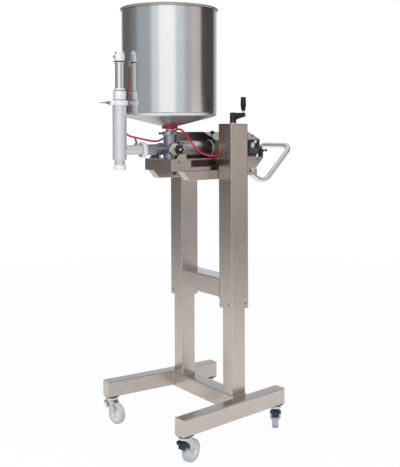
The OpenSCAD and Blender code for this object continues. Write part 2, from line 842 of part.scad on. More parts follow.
module hopper_gasket() {
    color("red") place() translate([-valve_x, 0, 0]) {
        difference() {
            bar_z(gasket_d, outlet_z - 12, outlet_z, 0, 0);
            bar_z(neck_d, outlet_z - 13, outlet_z + 1, 0, 0);
        }
        difference() {
            bar_z(ferrule_d, valve_top, valve_top + gasket_t, 0, 0);
            bar_z(port_d, valve_top - 1, valve_top + gasket_t + 1, 0, 0);
        }
    }
}

// Hinged pipe clamp round the local Z axis, its bolt lug towards +X. It grips
// two rims of diameter rim_d that are together as thick as grip.
module pipe_clamp(inner_d, rim_d, t, grip) {
    outer = rim_d / 2 + clamp_wall;
    difference() {
        union() {
            rotate_extrude() polygon([
                [inner_d / 2, -t / 2], [outer - 2, -t / 2], [outer, -t / 2 + 2],
                [outer, t / 2 - 2], [outer - 2, t / 2], [inner_d / 2, t / 2]
            ]);
            box(outer - 4, outer + lug_len, -9, 9, -t / 2, t / 2);
            box(-outer - 4, -outer + 4, -8, 8, -t / 2, t / 2);
        }
        cylinder(h = grip + 0.6, d = rim_d + 0.6, center = true);
        cylinder(h = t + 2, d = inner_d, center = true);
        box(outer - 8, outer + lug_len + 1, -2.5, 2.5, -t, t);
    }
    bar_x(bolt_d, outer - 3, outer + lug_len + 22, 0, 0);
}

// Wing nut on the clamp's bolt, two wings beside a short barrel
module wing_nut(rim_d, reach) {
    base = rim_d / 2 + clamp_wall + lug_len + 0.3;
    difference() {
        bar_x(14, base, base + 16, 0, 0);
        bar_x(bolt_d + 2 * run_gap, base - 1, base + 17, 0, 0);
    }
    for (side = [-1, 1]) at_side(side) translate([0, 0, -2.5]) linear_extrude(height = 5) polygon([
        [base + 3, 5], [base + 14, 5], [reach, 16], [reach - 3, 21], [base + 18, 20]
    ]);
}

module hopper_clamp_place() {
    translate([-valve_x, 0, joint_z]) rotate([0, 0, hopper_turn]) children();
}

module hopper_clamp() {
    stem_r = ferrule_d / 2 + clamp_wall;
    color("lightgray") place() hopper_clamp_place() {
        pipe_clamp(valve_tube_d + 2, ferrule_d, 18, 2 * ferrule_t + gasket_t);
        rotate([0, 0, -90]) {
            bar_x(6, stem_r - 2, stem_r + 10, 0, 0);
            translate([stem_r + 12, 0, 0]) sphere(d = 12);
        }
    }
}

module hopper_wing() {
    color("lightgray") place() hopper_clamp_place() wing_nut(ferrule_d, ferrule_d / 2 + 44);
}

module spout_place() {
    translate([spout_joint_x, 0, axis_z]) rotate([0, 90, 0]) rotate([0, 0, spout_turn]) children();
}

module spout_clamp() {
    color("lightgray") place() spout_place() pipe_clamp(pipe_d + 1, ferrule_d, 17, 2 * ferrule_t);
}

module spout_wing() {
    color("lightgray") place() spout_place() wing_nut(ferrule_d, ferrule_d / 2 + 54);
}

module nozzle_body() {
    x = -nozzle_x;
    color("gainsboro") place() difference() {
        union() {
            bar_z(nozzle_d, tube_bottom, tube_top - ferrule_t, x, 0);
            bar_z(nozzle_rim_d, tube_top - ferrule_t, tube_top, x, 0);
            bar_z(tip_d - 10, tube_bottom - neck_h, tube_bottom, x, 0);
            bar_x(arm_pipe_d, x, spout_joint_x, 0, axis_z);
            bar_x(ferrule_d, spout_joint_x - ferrule_t, spout_joint_x, 0, axis_z);
        }
        bar_z(nozzle_d - 4, tube_bottom + 2, tube_top + 1, x, 0);
        bar_z(tip_d - 16, tube_bottom - neck_h - 1, tube_bottom + 3, x, 0);
        bar_x(port_d, x, spout_joint_x + 1, 0, axis_z);
    }
}

module nozzle_tip() {
    x = -nozzle_x;
    color("white") place() difference() {
        bar_z(tip_d, tip_bottom, tip_bottom + tip_h, x, 0);
        bar_z(outlet_d, tip_bottom - 1, tip_bottom + tip_h + 1, x, 0);
    }
}

module nozzle_place() {
    translate([-nozzle_x, 0, tube_top]) rotate([0, 0, 180]) children();
}

module nozzle_clamp() {
    color("lightgray") place() nozzle_place()
        pipe_clamp(nozzle_d + 1, nozzle_rim_d, nozzle_clamp_t - 0.6, 2 * ferrule_t);
}

module nozzle_wing() {
    color("lightgray") place() nozzle_place() wing_nut(nozzle_rim_d, wing_reach);
}

module nozzle_cylinder() {
    x = -nozzle_x;
    bore = air_d - 5;
    color("lightgray") place() difference() {
        union() {
            bar_z(nozzle_rim_d, tube_top, tube_top + ferrule_t, x, 0);
            bar_z(nozzle_d - 1, tube_top + ferrule_t, adaptor_z, x, 0);
            bar_z(adaptor_d, adaptor_z, adaptor_z + adaptor_h, x, 0);
            bar_z(air_d + 12, adaptor_z + adaptor_h, air_z, x, 0);
            bar_z(air_d, air_z, air_top, x, 0);
        }
        bar_z(bore, air_z, air_top + 1, x, 0);
        bar_z(plunger_rod_d + 2 * run_gap, tube_top - 1, air_z + 1, x, 0);
    }
}

module nozzle_cap() {
    x = -nozzle_x;
    color("white") place() {
        bar_z(air_d + 8, air_top, air_top + 17, x, 0);
        translate([x, 0, air_top + 17]) rotate_extrude() polygon([
            [0, 0], [24.5, 0], [24.5, 12], [21, 26], [13, 38], [0, 43]
        ]);
        bar_x(10, x - 30, x, 6, air_top + 28);
        bar_y(14, 0, 43, x + 12, air_top + 9);
        bar_z(13, air_top - 13, air_top + 9, x + 12, 36);
    }
}

module cutoff_plunger() {
    x = -nozzle_x;
    color("lightgray") place() {
        bar_z(outlet_d - 2 * run_gap, tip_bottom + 2, tip_bottom + tip_h - 3, x, 0);
        bar_z(plunger_rod_d, tip_bottom + tip_h - 4, air_z + 32, x, 0);
        bar_z(air_d - 5 - 2 * run_gap, air_z + 20, air_z + 34, x, 0);
    }
}

// Hose: a ring of points swept along the route
hose_sides = 10;
hose_step = 24;

function route_len(i) = norm(hose_route[i + 1] - hose_route[i]);

function blend(a, b, c, d, t) = 0.5 * ((2 * b) + (c - a) * t + (2 * a - 5 * b + 4 * c - d) * t * t
    + (3 * b - a - 3 * c + d) * t * t * t);

function spot(i) = hose_route[max(0, min(len(hose_route) - 1, i))];

hose_path = concat(
    [for (i = [0:len(hose_route) - 2]) let (n = max(1, ceil(route_len(i) / hose_step)))
        for (k = [0:n - 1]) blend(spot(i - 1), spot(i), spot(i + 1), spot(i + 2), k / n)],
    [hose_route[len(hose_route) - 1]]
);

function unit(v) = v / norm(v);

function hose_ahead(i) = unit(hose_path[min(i + 1, len(hose_path) - 1)]
    - hose_path[max(i - 1, 0)]);

module air_hose() {
    across = [for (i = 0, u = [1, 0, 0]; i < len(hose_path);
        i = i + 1, u = i < len(hose_path) ? unit(u - hose_ahead(i) * (u * hose_ahead(i))) : u) u];
    n = len(hose_path);
    points = [for (i = [0:n - 1]) for (k = [0:hose_sides - 1])
        let (a = 360 * k / hose_sides, side = cross(hose_ahead(i), across[i]))
        hose_path[i] + hose_d / 2 * (across[i] * cos(a) + side * sin(a))];
    sides = [for (i = [0:n - 2]) for (k = [0:hose_sides - 1]) let (m = (k + 1) % hose_sides)
        each [
            [i * hose_sides + k, (i + 1) * hose_sides + m, i * hose_sides + m],
            [i * hose_sides + k, (i + 1) * hose_sides + k, (i + 1) * hose_sides + m]
        ]];
    first = [for (k = [1:hose_sides - 2]) [0, k, k + 1]];
    last_ring = (n - 1) * hose_sides;
    last = [for (k = [1:hose_sides - 2]) [last_ring, last_ring + k + 1, last_ring + k]];
    color("crimson") place() polyhedron(points = points, faces = concat(sides, first, last));
}

module air_switch() {
    face = bed_rear - 2;
    color("black") place() {
        box(face - 19.5, face, switch_y - 10, switch_y + 10, bed_top, bed_top + 26);
        bar_z(14, bed_top + 26, bed_top + 50, face - 8.5, switch_y);
        for (side = [-1, 1]) translate([0, switch_y + side * 6.5, 0])
            box(face - 14, face + 6, -1.5, 1.5, bed_top + 22, bed_top + 38);
    }
}

module switch_lever() {
    barrel = 9;
    tip = 14;
    stick = 20;
    x0 = bed_rear - 2 + barrel / 2 + 0.3;
    color("black") place() translate([x0, switch_y, bed_top + 31]) {
        bar_y(barrel, -4.7, 4.7, 0, 0);
        rotate([0, 90, 0]) rotate_extrude() intersection() {
            square([barrel, 4 * barrel]);
            union() {
                square([2.5, stick]);
                translate([0, stick]) circle(d = tip);
            }
        }
    }
}

near_leg();
far_leg();
crossbar();
near_post();
far_post();
post_pads();
lift_nut();
caster_plates();
caster_fork(0);  // caster_fork_nf
caster_wheel(0);  // caster_wheel_nf
caster_pedal(0);  // caster_pedal_nf
caster_fork(1);  // caster_fork_ff
caster_wheel(1);  // caster_wheel_ff
caster_pedal(1);  // caster_pedal_ff
caster_fork(2);  // caster_fork_nr
caster_wheel(2);  // caster_wheel_nr
caster_pedal(2);  // caster_pedal_nr
caster_fork(3);  // caster_fork_fr
caster_wheel(3);  // caster_wheel_fr
caster_pedal(3);  // caster_pedal_fr
near_sleeve();
far_sleeve();
brace();
top_caps();
guide_pads();
carriage_arms();
bed();
push_handle();
nameplate();
lead_screw();
crank_arm();
crank_grip();
drive_cover();
bulkhead();
drive_cylinder();
control_panel();
cover_knob();
product_cylinder();
piston_rod();
product_piston();
valve_body();
valve_plug();
valve_knob();
valve_actuator();
hopper();
hopper_gasket();
hopper_clamp();
hopper_wing();
spout_clamp();
spout_wing();
nozzle_body();
nozzle_clamp();
nozzle_wing();
nozzle_cylinder();
nozzle_cap();
nozzle_tip();
cutoff_plunger();
air_hose();
air_switch();
switch_lever();
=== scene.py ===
import functools
import math

import bpy
import numpy as np
from mathutils import Matrix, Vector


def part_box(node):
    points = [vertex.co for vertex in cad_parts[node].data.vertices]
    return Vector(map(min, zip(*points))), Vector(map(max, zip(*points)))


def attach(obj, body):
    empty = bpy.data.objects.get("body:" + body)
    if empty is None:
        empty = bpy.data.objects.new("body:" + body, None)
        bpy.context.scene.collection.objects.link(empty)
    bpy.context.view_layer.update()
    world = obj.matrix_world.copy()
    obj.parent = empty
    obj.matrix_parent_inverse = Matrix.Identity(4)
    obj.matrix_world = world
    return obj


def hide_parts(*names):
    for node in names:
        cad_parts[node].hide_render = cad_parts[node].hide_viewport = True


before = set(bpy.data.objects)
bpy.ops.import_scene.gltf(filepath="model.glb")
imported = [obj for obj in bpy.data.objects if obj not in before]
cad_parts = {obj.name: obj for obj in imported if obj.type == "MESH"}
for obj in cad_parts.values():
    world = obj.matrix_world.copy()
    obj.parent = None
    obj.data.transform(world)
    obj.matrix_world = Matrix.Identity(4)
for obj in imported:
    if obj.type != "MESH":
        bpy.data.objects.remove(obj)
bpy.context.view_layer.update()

bl_info = {
    "name": "Depositor Filling Machine",
    "version": (1, 0, 0),
    "blender": (4, 5, 0),
    "location": "3D View > Sidebar > Depositor",
    "description": "Builds the looks of a depositor filling machine on a height-adjustable stand",
    "category": "Object",
}

MM = 0.001


def node_range(node):
    """A CAD node's lowest and highest corners, in millimetres in the frame."""
    low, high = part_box(node)
    return np.array(low) / MM, np.array(high) / MM


# X of the posts' centre line in the frame: every size below is measured from it
POST_X = float(np.mean([corner[0] for corner in node_range("near_post")]))


# ---------------------------------------------------------------- shapes

def unit(vector):
    """A vector divided by its own length, for one vector or an array of them."""
    vector = np.asarray(vector, float)
    return vector / np.linalg.norm(vector, axis=-1, keepdims=True)


def bent_line(corners, radius, closed=True, steps=5):
    """A line through corner points with each corner rounded: near a corner the line follows
    the circle that touches both of its sides, centre + cos(t) start + sin(t) ahead."""
    corners = np.asarray(corners, float)
    count = len(corners)
    radii = np.broadcast_to(np.asarray(radius, float), (count,))
    pieces = []
    for i, corner in enumerate(corners):
        before, after = corners[i - 1], corners[(i + 1) % count]
        u, v = before - corner, after - corner
        half = 0.5 * math.acos(np.clip(unit(u) @ unit(v), -1, 1))
        if (not closed and i in (0, count - 1)) or radii[i] <= 0 or half > 1.56:
            pieces.append(corner[None])
            continue
        reach = min(radii[i] / math.tan(half), 0.499 * min(np.linalg.norm(u), np.linalg.norm(v)))
        r = reach * math.tan(half)
        centre = corner + unit(unit(u) + unit(v)) * r / math.sin(half)
        t = np.linspace(0, math.pi - 2 * half, steps + 1)[:, None]
        pieces.append(centre + np.cos(t) * (corner + unit(u) * reach - centre)
                      - np.sin(t) * unit(u) * r)
    return np.concatenate(pieces)


def angles_round(count):
    """Angles t at even steps once round a circle."""
    return np.linspace(0, 2 * math.pi, count, endpoint=False)


def polar(r, t, z=0.0):
    """Points at radius r, angle t and height z: (r cos t, r sin t, z)."""
    return np.stack(np.broadcast_arrays(r * np.cos(t), r * np.sin(t), z), -1)


def circle(radius, count):
    """A circle as a ring of points: radius (cos t, sin t)."""
    return polar(radius, angles_round(count))[:, :2]


def cut_up(line, least, count):
    """A line whose sides longer than least are cut in count even parts."""
    return np.concatenate([
        np.linspace(a, b, count if np.linalg.norm(b - a) > least else 1, endpoint=False)
        for a, b in zip(line[:-1], line[1:])] + [line[-1:]])


def rectangle(width, height, radius, steps, middle=(0, 0)):
    """A rounded rectangle as a ring of points, anticlockwise."""
    w, h = width / 2, height / 2
    return bent_line([(-w, -h), (w, -h), (w, h), (-w, h)], radius, steps=steps) + middle


def lobed(radius, depth, lobes):
    """A circle with waves round it: the radius is r + depth cos(lobes t)."""
    t = angles_round(96)
    return polar(radius + depth * np.cos(lobes * t), t)[:, :2]


def inset(outline, amount):
    """An anticlockwise outline moved inwards by amount, along the mitre of its sides."""
    ahead = unit(np.roll(outline, -1, 0) - outline)
    normal = np.stack([ahead[:, 1], -ahead[:, 0]], -1)
    before = np.roll(normal, 1, 0)
    scale = 1 + np.sum(normal * before, -1, keepdims=True)
    return outline - amount * (normal + before) / np.maximum(scale, 0.4)


def stacked(levels):
    """Rings from pairs of a flat outline and its height."""
    return np.array([np.c_[outline, np.full(len(outline), z)] for outline, z in levels])


def plate(outline, low, high, edge=0.0, steps=3):
    """An outline drawn out from low to high with quarter-round edges: at the angle t of the
    edge the outline is moved in by edge (1 - sin t) and lies edge (1 - cos t) inside the face."""
    outline = np.asarray(outline, float)
    x, y = outline.T
    if np.sum(x * np.roll(y, -1) - y * np.roll(x, -1)) < 0:
        outline = outline[::-1]
    t = np.linspace(0, math.pi / 2, steps + 1) if edge > 0 else np.array([math.pi / 2])
    ways = [(edge * (1 - math.sin(a)), edge * (1 - math.cos(a))) for a in t]
    lower = [(inset(outline, w), low + d) for w, d in ways]
    upper = [(inset(outline, w), high - d) for w, d in reversed(ways)]
    return stacked(lower + upper)


def upright_plate(outline, low, high, edge=0.0):
    """A plate whose outline lies in X and Z, drawn out along Y."""
    return plate(outline, low, high, edge)[..., [0, 2, 1]]


def turned(profile, count):
    """A profile of (radius, height) points turned round the height axis."""
    r, h = np.asarray(profile, float).T[..., None]
    return polar(r, angles_round(count), h)


def carried(path, outline, across, swell=None):
    """An outline carried along a path: each ring lies square to the path, its first side
    on the cross product of the path's direction and the vector across."""
    path = np.asarray(path, float)
    ahead = unit(np.gradient(path, axis=0))
    side = unit(np.cross(ahead, across))
    up = np.cross(side, ahead)
    swell = np.ones(len(path)) if swell is None else np.asarray(swell)
    flat = np.asarray(outline)[None] * swell[:, None, None]
    return path[:, None] + flat[..., :1] * side[:, None] + flat[..., 1:] * up[:, None]


def smooth_line(points, step):
    """Catmull-Rom blend through the points, each span cut in lengths of at most step:
    half of (2b + (c - a) t + (2a - 5b + 4c - d) t^2 + (3b - a - 3c + d) t^3)."""
    points = np.asarray(points, float)
    whole = np.concatenate([points[:1], points, points[-1:]])
    spans = []
    for a, b, c, d in zip(whole[:-3], whole[1:-2], whole[2:-1], whole[3:]):
        t = np.linspace(0, 1, max(1, math.ceil(np.linalg.norm(c - b) / step)), endpoint=False)
        t = t[:, None]
        spans.append(0.5 * (2 * b + (c - a) * t + (2 * a - 5 * b + 4 * c - d) * t ** 2
                            + (3 * b - a - 3 * c + d) * t ** 3))
    return np.concatenate(spans + [points[-1:]])


def stood(rings, origin, x=(1, 0, 0), y=(0, 1, 0), z=(0, 0, 1)):
    """Points moved so that their own axes lie along x, y and z, from origin."""
    return np.asarray(rings) @ np.array([x, y, z], float) + np.asarray(origin, float)


def spun(angle):
    """The three axes turned round Z by an angle."""
    return ((math.cos(angle), math.sin(angle), 0), (-math.sin(angle), math.cos(angle), 0),
            (0, 0, 1))


# The X, Y and Z axes of a thing whose height runs in a named direction
AXES = {
    "+x": ((0, 1, 0), (0, 0, 1), (1, 0, 0)), "-x": ((0, -1, 0), (0, 0, 1), (-1, 0, 0)),
    "+y": ((-1, 0, 0), (0, 0, 1), (0, 1, 0)), "-y": ((1, 0, 0), (0, 0, 1), (0, -1, 0)),
    "+z": ((1, 0, 0), (0, 1, 0), (0, 0, 1)), "-z": ((1, 0, 0), (0, -1, 0), (0, 0, -1)),
}


def towards(rings, origin, direction):
    """Points moved so that their height axis lies along direction, '+x' to '-z' or a vector."""
    if isinstance(direction, str):
        return stood(rings, origin, *AXES[direction])
    z = unit(direction)
    x = unit(np.cross((0, 0, 1) if abs(z[2]) < 0.9 else (0, 1, 0), z))
    return stood(rings, origin, x, np.cross(z, x), z)


def flatten_shading(mesh, cosine):
    """Corner normals that keep large faces flat: at each corner, the normals of the faces
    round its point that meet within an angle, given by its cosine, are added, each times
    its area."""
    corners, faces = len(mesh.loops), len(mesh.polygons)
    point, sides = np.empty(corners, np.int32), np.empty(faces, np.int32)
    normal, area = np.empty(faces * 3), np.empty(faces)
    mesh.loops.foreach_get("vertex_index", point)
    mesh.polygons.foreach_get("loop_total", sides)
    mesh.polygons.foreach_get("normal", normal)
    mesh.polygons.foreach_get("area", area)
    order = np.argsort(point, kind="stable")
    point, face = point[order], np.repeat(np.arange(faces), sides)[order]
    normal = normal.reshape(-1, 3)
    total = normal[face] * area[face][:, None]
    for step in range(1, np.bincount(point).max()):
        first = np.flatnonzero(point[:-step] == point[step:])
        a, b = face[first], face[first + step]
        near = np.sum(normal[a] * normal[b], -1) > cosine
        first, a, b = first[near], a[near], b[near]
        total[first] += normal[b] * area[b][:, None]
        total[first + step] += normal[a] * area[a][:, None]
    result = np.empty_like(total)
    result[order] = unit(total + 1e-12)
    mesh.normals_split_custom_set(result.tolist())


# Faces that meet at a sharper angle than this, in degrees, keep a sharp edge
SHARP = 40


class Piece:
    """A mesh in the making, in millimetres from the posts' centre line, or from an origin
    along three axes of its own. It is built from grids of points: rings joined one to the
    next by four-sided faces."""

    def __init__(self, name, axes=((0, 0, 0),)):
        self.name, self.axes = name, axes
        self.points, self.faces, self.coats, self.count = [], [], [], 0

    def add(self, rings, coat=0, loop=False, ends=True, open_ring=False):
        """Joins each ring to the next. With loop the last ring joins the first, with ends
        the outer rings are closed by a face, and an open ring is a strip. A ring drawn
        together in one point is a pole. The faces are turned outwards by the sign of
        the volume that they enclose."""
        rings = stood(rings, *self.axes)
        k, m, _ = rings.shape
        index = np.arange(k * m).reshape(k, m)
        pole = np.ptp(rings, axis=1).max(-1) < 1e-6
        index[pole] = index[pole][:, :1]
        a = index if loop else index[:-1]
        b = np.roll(index, -1, 0)[:len(a)]
        if open_ring:
            quads = np.stack([a[:, :-1], a[:, 1:], b[:, 1:], b[:, :-1]], -1)
        else:
            quads = np.stack([a, np.roll(a, -1, 1), np.roll(b, -1, 1), b], -1)
        quads = quads.reshape(-1, 4)
        flat = rings.reshape(-1, 3)
        centre = flat.mean(0)
        p = flat[quads] - centre
        volume = np.sum(np.cross(p[:, 0], p[:, 1]) * p[:, 2]) \
            + np.sum(np.cross(p[:, 0], p[:, 2]) * p[:, 3])
        faces = [list(dict.fromkeys(quad)) for quad in quads.tolist()]
        faces = [face for face in faces if len(face) > 2]
        if ends and not loop and not open_ring:
            for face, drawn in ((index[0][::-1], pole[0]), (index[-1], pole[-1])):
                if not drawn:
                    faces.append(face.tolist())
                    p = flat[face] - centre
                    volume += np.sum(np.cross(p[:-1], p[1:]) * p[0])
        if volume < 0:
            faces = [face[::-1] for face in faces]
        used = np.unique(np.concatenate([np.asarray(face) for face in faces]))
        place = np.zeros(k * m, int)
        place[used] = np.arange(len(used)) + self.count
        self.points.append(flat[used])
        self.faces += [place[face].tolist() for face in faces]
        self.coats += [coat] * len(faces)
        self.count += len(used)

    def build(self, materials, body, nodes=(), slot="frame_steel", wall=0.0):
        """Makes the object, in metres in the frame, ties it to its body and hides the CAD nodes
        that it stands for. A sheet gets a wall, open edges kept sharp, and its second material on
        the inside."""
        mesh = bpy.data.meshes.new(self.name)
        points = np.concatenate(self.points) + (POST_X, 0, 0)
        mesh.from_pydata((points * MM).tolist(), [], self.faces)
        for material in materials:
            mesh.materials.append(material)
        mesh.polygons.foreach_set("material_index", self.coats)
        mesh.shade_smooth()
        mesh.set_sharp_from_angle(angle=math.radians(SHARP))
        if not wall:
            flatten_shading(mesh, math.cos(math.radians(SHARP)))
        piece = bpy.data.objects.new(self.name, mesh)
        bpy.context.scene.collection.objects.link(piece)
        if wall:
            edges = np.empty(len(mesh.loops), np.int32)
            mesh.loops.foreach_get("edge_index", edges)
            marks = mesh.attributes.get("sharp_edge") or mesh.attributes.new(
                "sharp_edge", "BOOLEAN", "EDGE")
            sharp_edges = np.empty(len(mesh.edges), bool)
            marks.data.foreach_get("value", sharp_edges)
            marks.data.foreach_set("value", sharp_edges | (np.bincount(edges) == 1))
            solid = piece.modifiers.new("Sheet", "SOLIDIFY")
            solid.thickness, solid.offset, solid.material_offset = wall * MM, -1, 1
        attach(piece, body)
        if nodes:
            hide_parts(*nodes)
        return piece


def rod(piece, radius, start, end, coat, edge, count):
    """A round bar between two points with rounded rims."""
    start, end = np.asarray(start, float), np.asarray(end, float)
    length = np.linalg.norm(end - start)
    piece.add(towards(plate(circle(radius, count), 0, length, min(edge, radius * 0.45)),
                      start, end - start), coat)


def pipe(piece, outer, inner, start, end, edge, count):
    """A round tube between two points: its wall's outline turned round, rims rounded."""
    start, end = np.asarray(start, float), np.asarray(end, float)
    length = np.linalg.norm(end - start)
    wall = bent_line([(inner, 0), (outer, 0), (outer, length), (inner, length)],
                     min(edge, (outer - inner) * 0.45), steps=3)
    piece.add(towards(turned(wall, count), start, end - start), loop=True)


def lathe(piece, profile, origin, direction, coat, radius, count):
    """A (radius, height) profile with rounded corners turned round a direction. It is an
    open line where it starts on the axis, and a closed one elsewhere."""
    closed = profile[0][0] > 0
    line = bent_line(profile, radius, closed=closed, steps=4)
    piece.add(towards(turned(line, count), origin, direction), coat, loop=closed)


def slab(piece, low, high, radius, along="z"):
    """A block between two corners: a rounded rectangle drawn out with rounded edges."""
    low, high = np.asarray(low, float), np.asarray(high, float)
    a, b, c = {"z": (0, 1, 2), "x": (1, 2, 0), "y": (2, 0, 1)}[along]
    size, middle = high - low, (high + low) / 2
    r = min(radius, 0.45 * min(size))
    rings = plate(rectangle(size[a], size[b], r, 4, (middle[a], middle[b])), low[c], high[c], r)
    piece.add(rings[..., np.argsort((a, b, c))])


def six_sides(t):
    """Reach of a hexagon with flats at 1: 1 / cos of the angle from the nearest flat."""
    return 1 / np.cos((t + math.pi / 6) % (math.pi / 3) - math.pi / 6)


def socket_screw(piece, origin, direction, radius, height, coat):
    """A domed screw with a hexagon socket: circles that turn into hexagons further in."""
    t = angles_round(24)
    six = math.cos(math.pi / 6) * six_sides(t)
    rings = [polar(radius * r * (1 - mix + mix * six), t, h * height)
             for r, h, mix in ((1, 0, 0), (1, 0.45, 0), (0.9, 0.75, 0), (0.7, 0.95, 0),
                               (0.56, 1, 0.6), (0.48, 0.98, 1), (0.46, 0.45, 1), (0, 0.3, 1))]
    piece.add(towards(np.array(rings), origin, direction), coat)


def hexagon(piece, origin, direction, across, height, coat=0):
    """A hexagon nut or bolt head with a turned chamfer: the hexagon is cut by a cone."""
    t = angles_round(48)
    rings = [polar(across / 2 * np.minimum(six_sides(t), cone), t, h * height)
             for cone, h in ((1.03, 0), (1.2, 0.12), (1.2, 0.84), (1.03, 0.96), (0.7, 1))]
    piece.add(towards(np.array(rings), origin, direction), coat)


def weld(piece, path, across, radius, coat=0, closed=False):
    """A weld bead: a small circle carried along the seam, its size rising and falling
    with every ripple."""
    path = np.asarray(path, float)
    steps = np.r_[0, np.cumsum(np.linalg.norm(np.diff(path, axis=0), axis=-1))]
    fine = np.arange(0, steps[-1], 1.6)
    line = np.stack([np.interp(fine, steps, path[:, i]) for i in range(3)], -1)
    swell = 1 + 0.12 * np.sin(fine * 2 * math.pi / 4.6)
    piece.add(carried(line, circle(radius, 10), across, swell), coat, ends=not closed)


def square_tube(piece, middle, width, radius, wall, low, high):
    """A square tube along Z: its outer and inner rounded outlines joined over both rims."""
    outer = rectangle(width, width, radius, 6, middle)
    inner = inset(outer, wall)
    levels = [(inset(outer, 0.8), low), (outer, low + 0.8), (outer, high - 0.8),
              (inset(outer, 0.8), high), (inset(inner, -0.4), high), (inner, high - 0.6),
              (inner, low + 0.6), (inset(inner, -0.4), low)]
    piece.add(stacked(levels), loop=True)


# ------------------------------------------------------------- materials

class Level:
    """A number that changes over a surface. Arithmetic on it adds Math nodes."""

    def __init__(self, finish, socket):
        self.finish, self.socket = finish, socket

    def __add__(self, other):
        return self.finish.math("ADD", self, other)

    __radd__ = __add__

    def __sub__(self, other):
        return self.finish.math("SUBTRACT", self, other)

    def __rsub__(self, other):
        return self.finish.math("SUBTRACT", other, self)

    def __mul__(self, other):
        return self.finish.math("MULTIPLY", self, other)

    __rmul__ = __mul__

    def __truediv__(self, other):
        return self.finish.math("DIVIDE", self, other)

    def __pow__(self, other):
        return self.finish.math("POWER", self, other)

    def above(self, edge, soft):
        """0 below edge, 1 above edge + soft, and a smooth rise between them."""
        return self.finish.node("ShaderNodeMapRange", {"interpolation_type": "SMOOTHSTEP"},
                                {"Value": self, "From Min": edge, "From Max": edge + soft})

    def within(self, low, high, soft):
        """1 between low and high and 0 outside them, with soft edges."""
        return self.above(low, soft) * (1 - self.above(high, soft))


class Nodes:
    """Adds nodes to a node tree."""

    def __init__(self, tree):
        self.tree = tree

    def feed(self, socket, value):
        if isinstance(value, Level):
            self.tree.links.new(value.socket, socket)
        elif hasattr(value, "__len__") and len(value) == 3 and socket.type == "RGBA":
            socket.default_value = (*value, 1)
        else:
            socket.default_value = value

    def node(self, kind, settings=None, values=None, out=0):
        """Adds a node: its settings first, then the values or links of its sockets."""
        made = self.tree.nodes.new(kind)
        for name, value in (settings or {}).items():
            setattr(made, name, value)
        for socket, value in (values or {}).items():
            self.feed(made.inputs[socket], value)
        return Level(self, made.outputs[out])

    def rays(self, *kinds):
        """1 for rays of each kind and 0 for others."""
        outputs = self.node("ShaderNodeLightPath").socket.node.outputs
        return [Level(self, outputs[f"Is {kind} Ray"]) for kind in kinds]

    def math(self, operation, first, second=None):
        """A Math node on one or two numbers or levels."""
        values = {0: first} if second is None else {0: first, 1: second}
        return self.node("ShaderNodeMath", {"operation": operation}, values)

    def place(self, centre=(0, 0, 0), stretch=(1, 1, 1)):
        """Object coordinates, moved so that centre is at the origin, and stretched."""
        here = self.node("ShaderNodeTexCoord", out=3)
        moved = self.node("ShaderNodeVectorMath", {"operation": "SUBTRACT"},
                          {0: here, 1: centre})
        return self.node("ShaderNodeMapping", {}, {"Vector": moved, "Scale": stretch})

    def axis(self, vector, which):
        """X, Y or Z of a vector, as 0, 1 or 2."""
        return self.node("ShaderNodeSeparateXYZ", {}, {"Vector": vector}, out=which)

    def noise(self, scale, detail, roughness=0.55, place=None):
        """Soft random clouds from 0 to 1, scale of them to the metre."""
        place = self.place() if place is None else place
        return self.node("ShaderNodeTexNoise", {}, {
            "Vector": place, "Scale": scale, "Detail": detail, "Roughness": roughness})

    def cells(self, scale):
        """Distance to the nearest of many random points, scale of them to the metre."""
        return self.node("ShaderNodeTexVoronoi", {}, {"Vector": self.place(), "Scale": scale})

    def mix(self, share, first, second):
        """first where share is 0 and second where it is 1, as colours."""
        return self.node("ShaderNodeMix", {"data_type": "RGBA"}, {0: share, 6: first, 7: second},
                         out=2)


class Finish(Nodes):
    """A material and its nodes."""

    def __init__(self, name, colour, roughness, metallic=0.0, **constants):
        self.material = bpy.data.materials.new(name)
        self.material.use_nodes = True
        super().__init__(self.material.node_tree)
        self.shader = self.tree.nodes["Principled BSDF"]
        self.material.diffuse_color = (*colour, 1)
        self.set("Base Color", colour)
        self.set("Roughness", roughness)
        self.set("Metallic", metallic)
        for socket, value in constants.items():
            self.set(socket.replace("_", " ").title().replace("Ior", "IOR"), value)

    def set(self, socket, value):
        """Sets or links one of the shader's own sockets."""
        self.feed(self.shader.inputs[socket], value)

    def bump(self, height, distance):
        """Feeds a height from 0 to 1, distance metres deep, to the shader's normal."""
        self.set("Normal", self.node("ShaderNodeBump", {}, {
            "Height": height, "Distance": distance, "Strength": 1.0}))


def tint(colour, factor):
    """A colour made lighter or darker."""
    return tuple(min(1.0, c * factor) for c in colour[:3])


FINISHES = {}


def kept_by_name(make):
    """Lets a function make each finish once: the same name gives the same material."""
    @functools.wraps(make)
    def give(name, *values, **settings):
        if name not in FINISHES:
            FINISHES[name] = make(name, *values, **settings).material
        return FINISHES[name]
    return give


@kept_by_name
def metal(name, colour, roughness, stretch, spread=0.12, depth=0.00002, grain=900,
          cloud=6.0, shine=1.0):
    """Metal with fine scratches drawn out one way, worn patches and faint smudges."""
    f = Finish(name, colour, roughness, shine)
    scratches = f.noise(grain, 2, 0.6, f.place(stretch=stretch))
    clouds = f.noise(cloud, 4, 0.6)
    smudges = f.noise(cloud * 5, 3, 0.5).above(0.52, 0.2)
    f.set("Base Color", f.mix(clouds.above(0.3, 0.4) * 0.6 + scratches * 0.3,
                              tint(colour, 0.93), tint(colour, 1.04)))
    f.set("Roughness", roughness + (scratches - 0.5) * spread + (clouds - 0.5) * 0.08
          + smudges * 0.03)
    f.bump(scratches, depth)
    return f


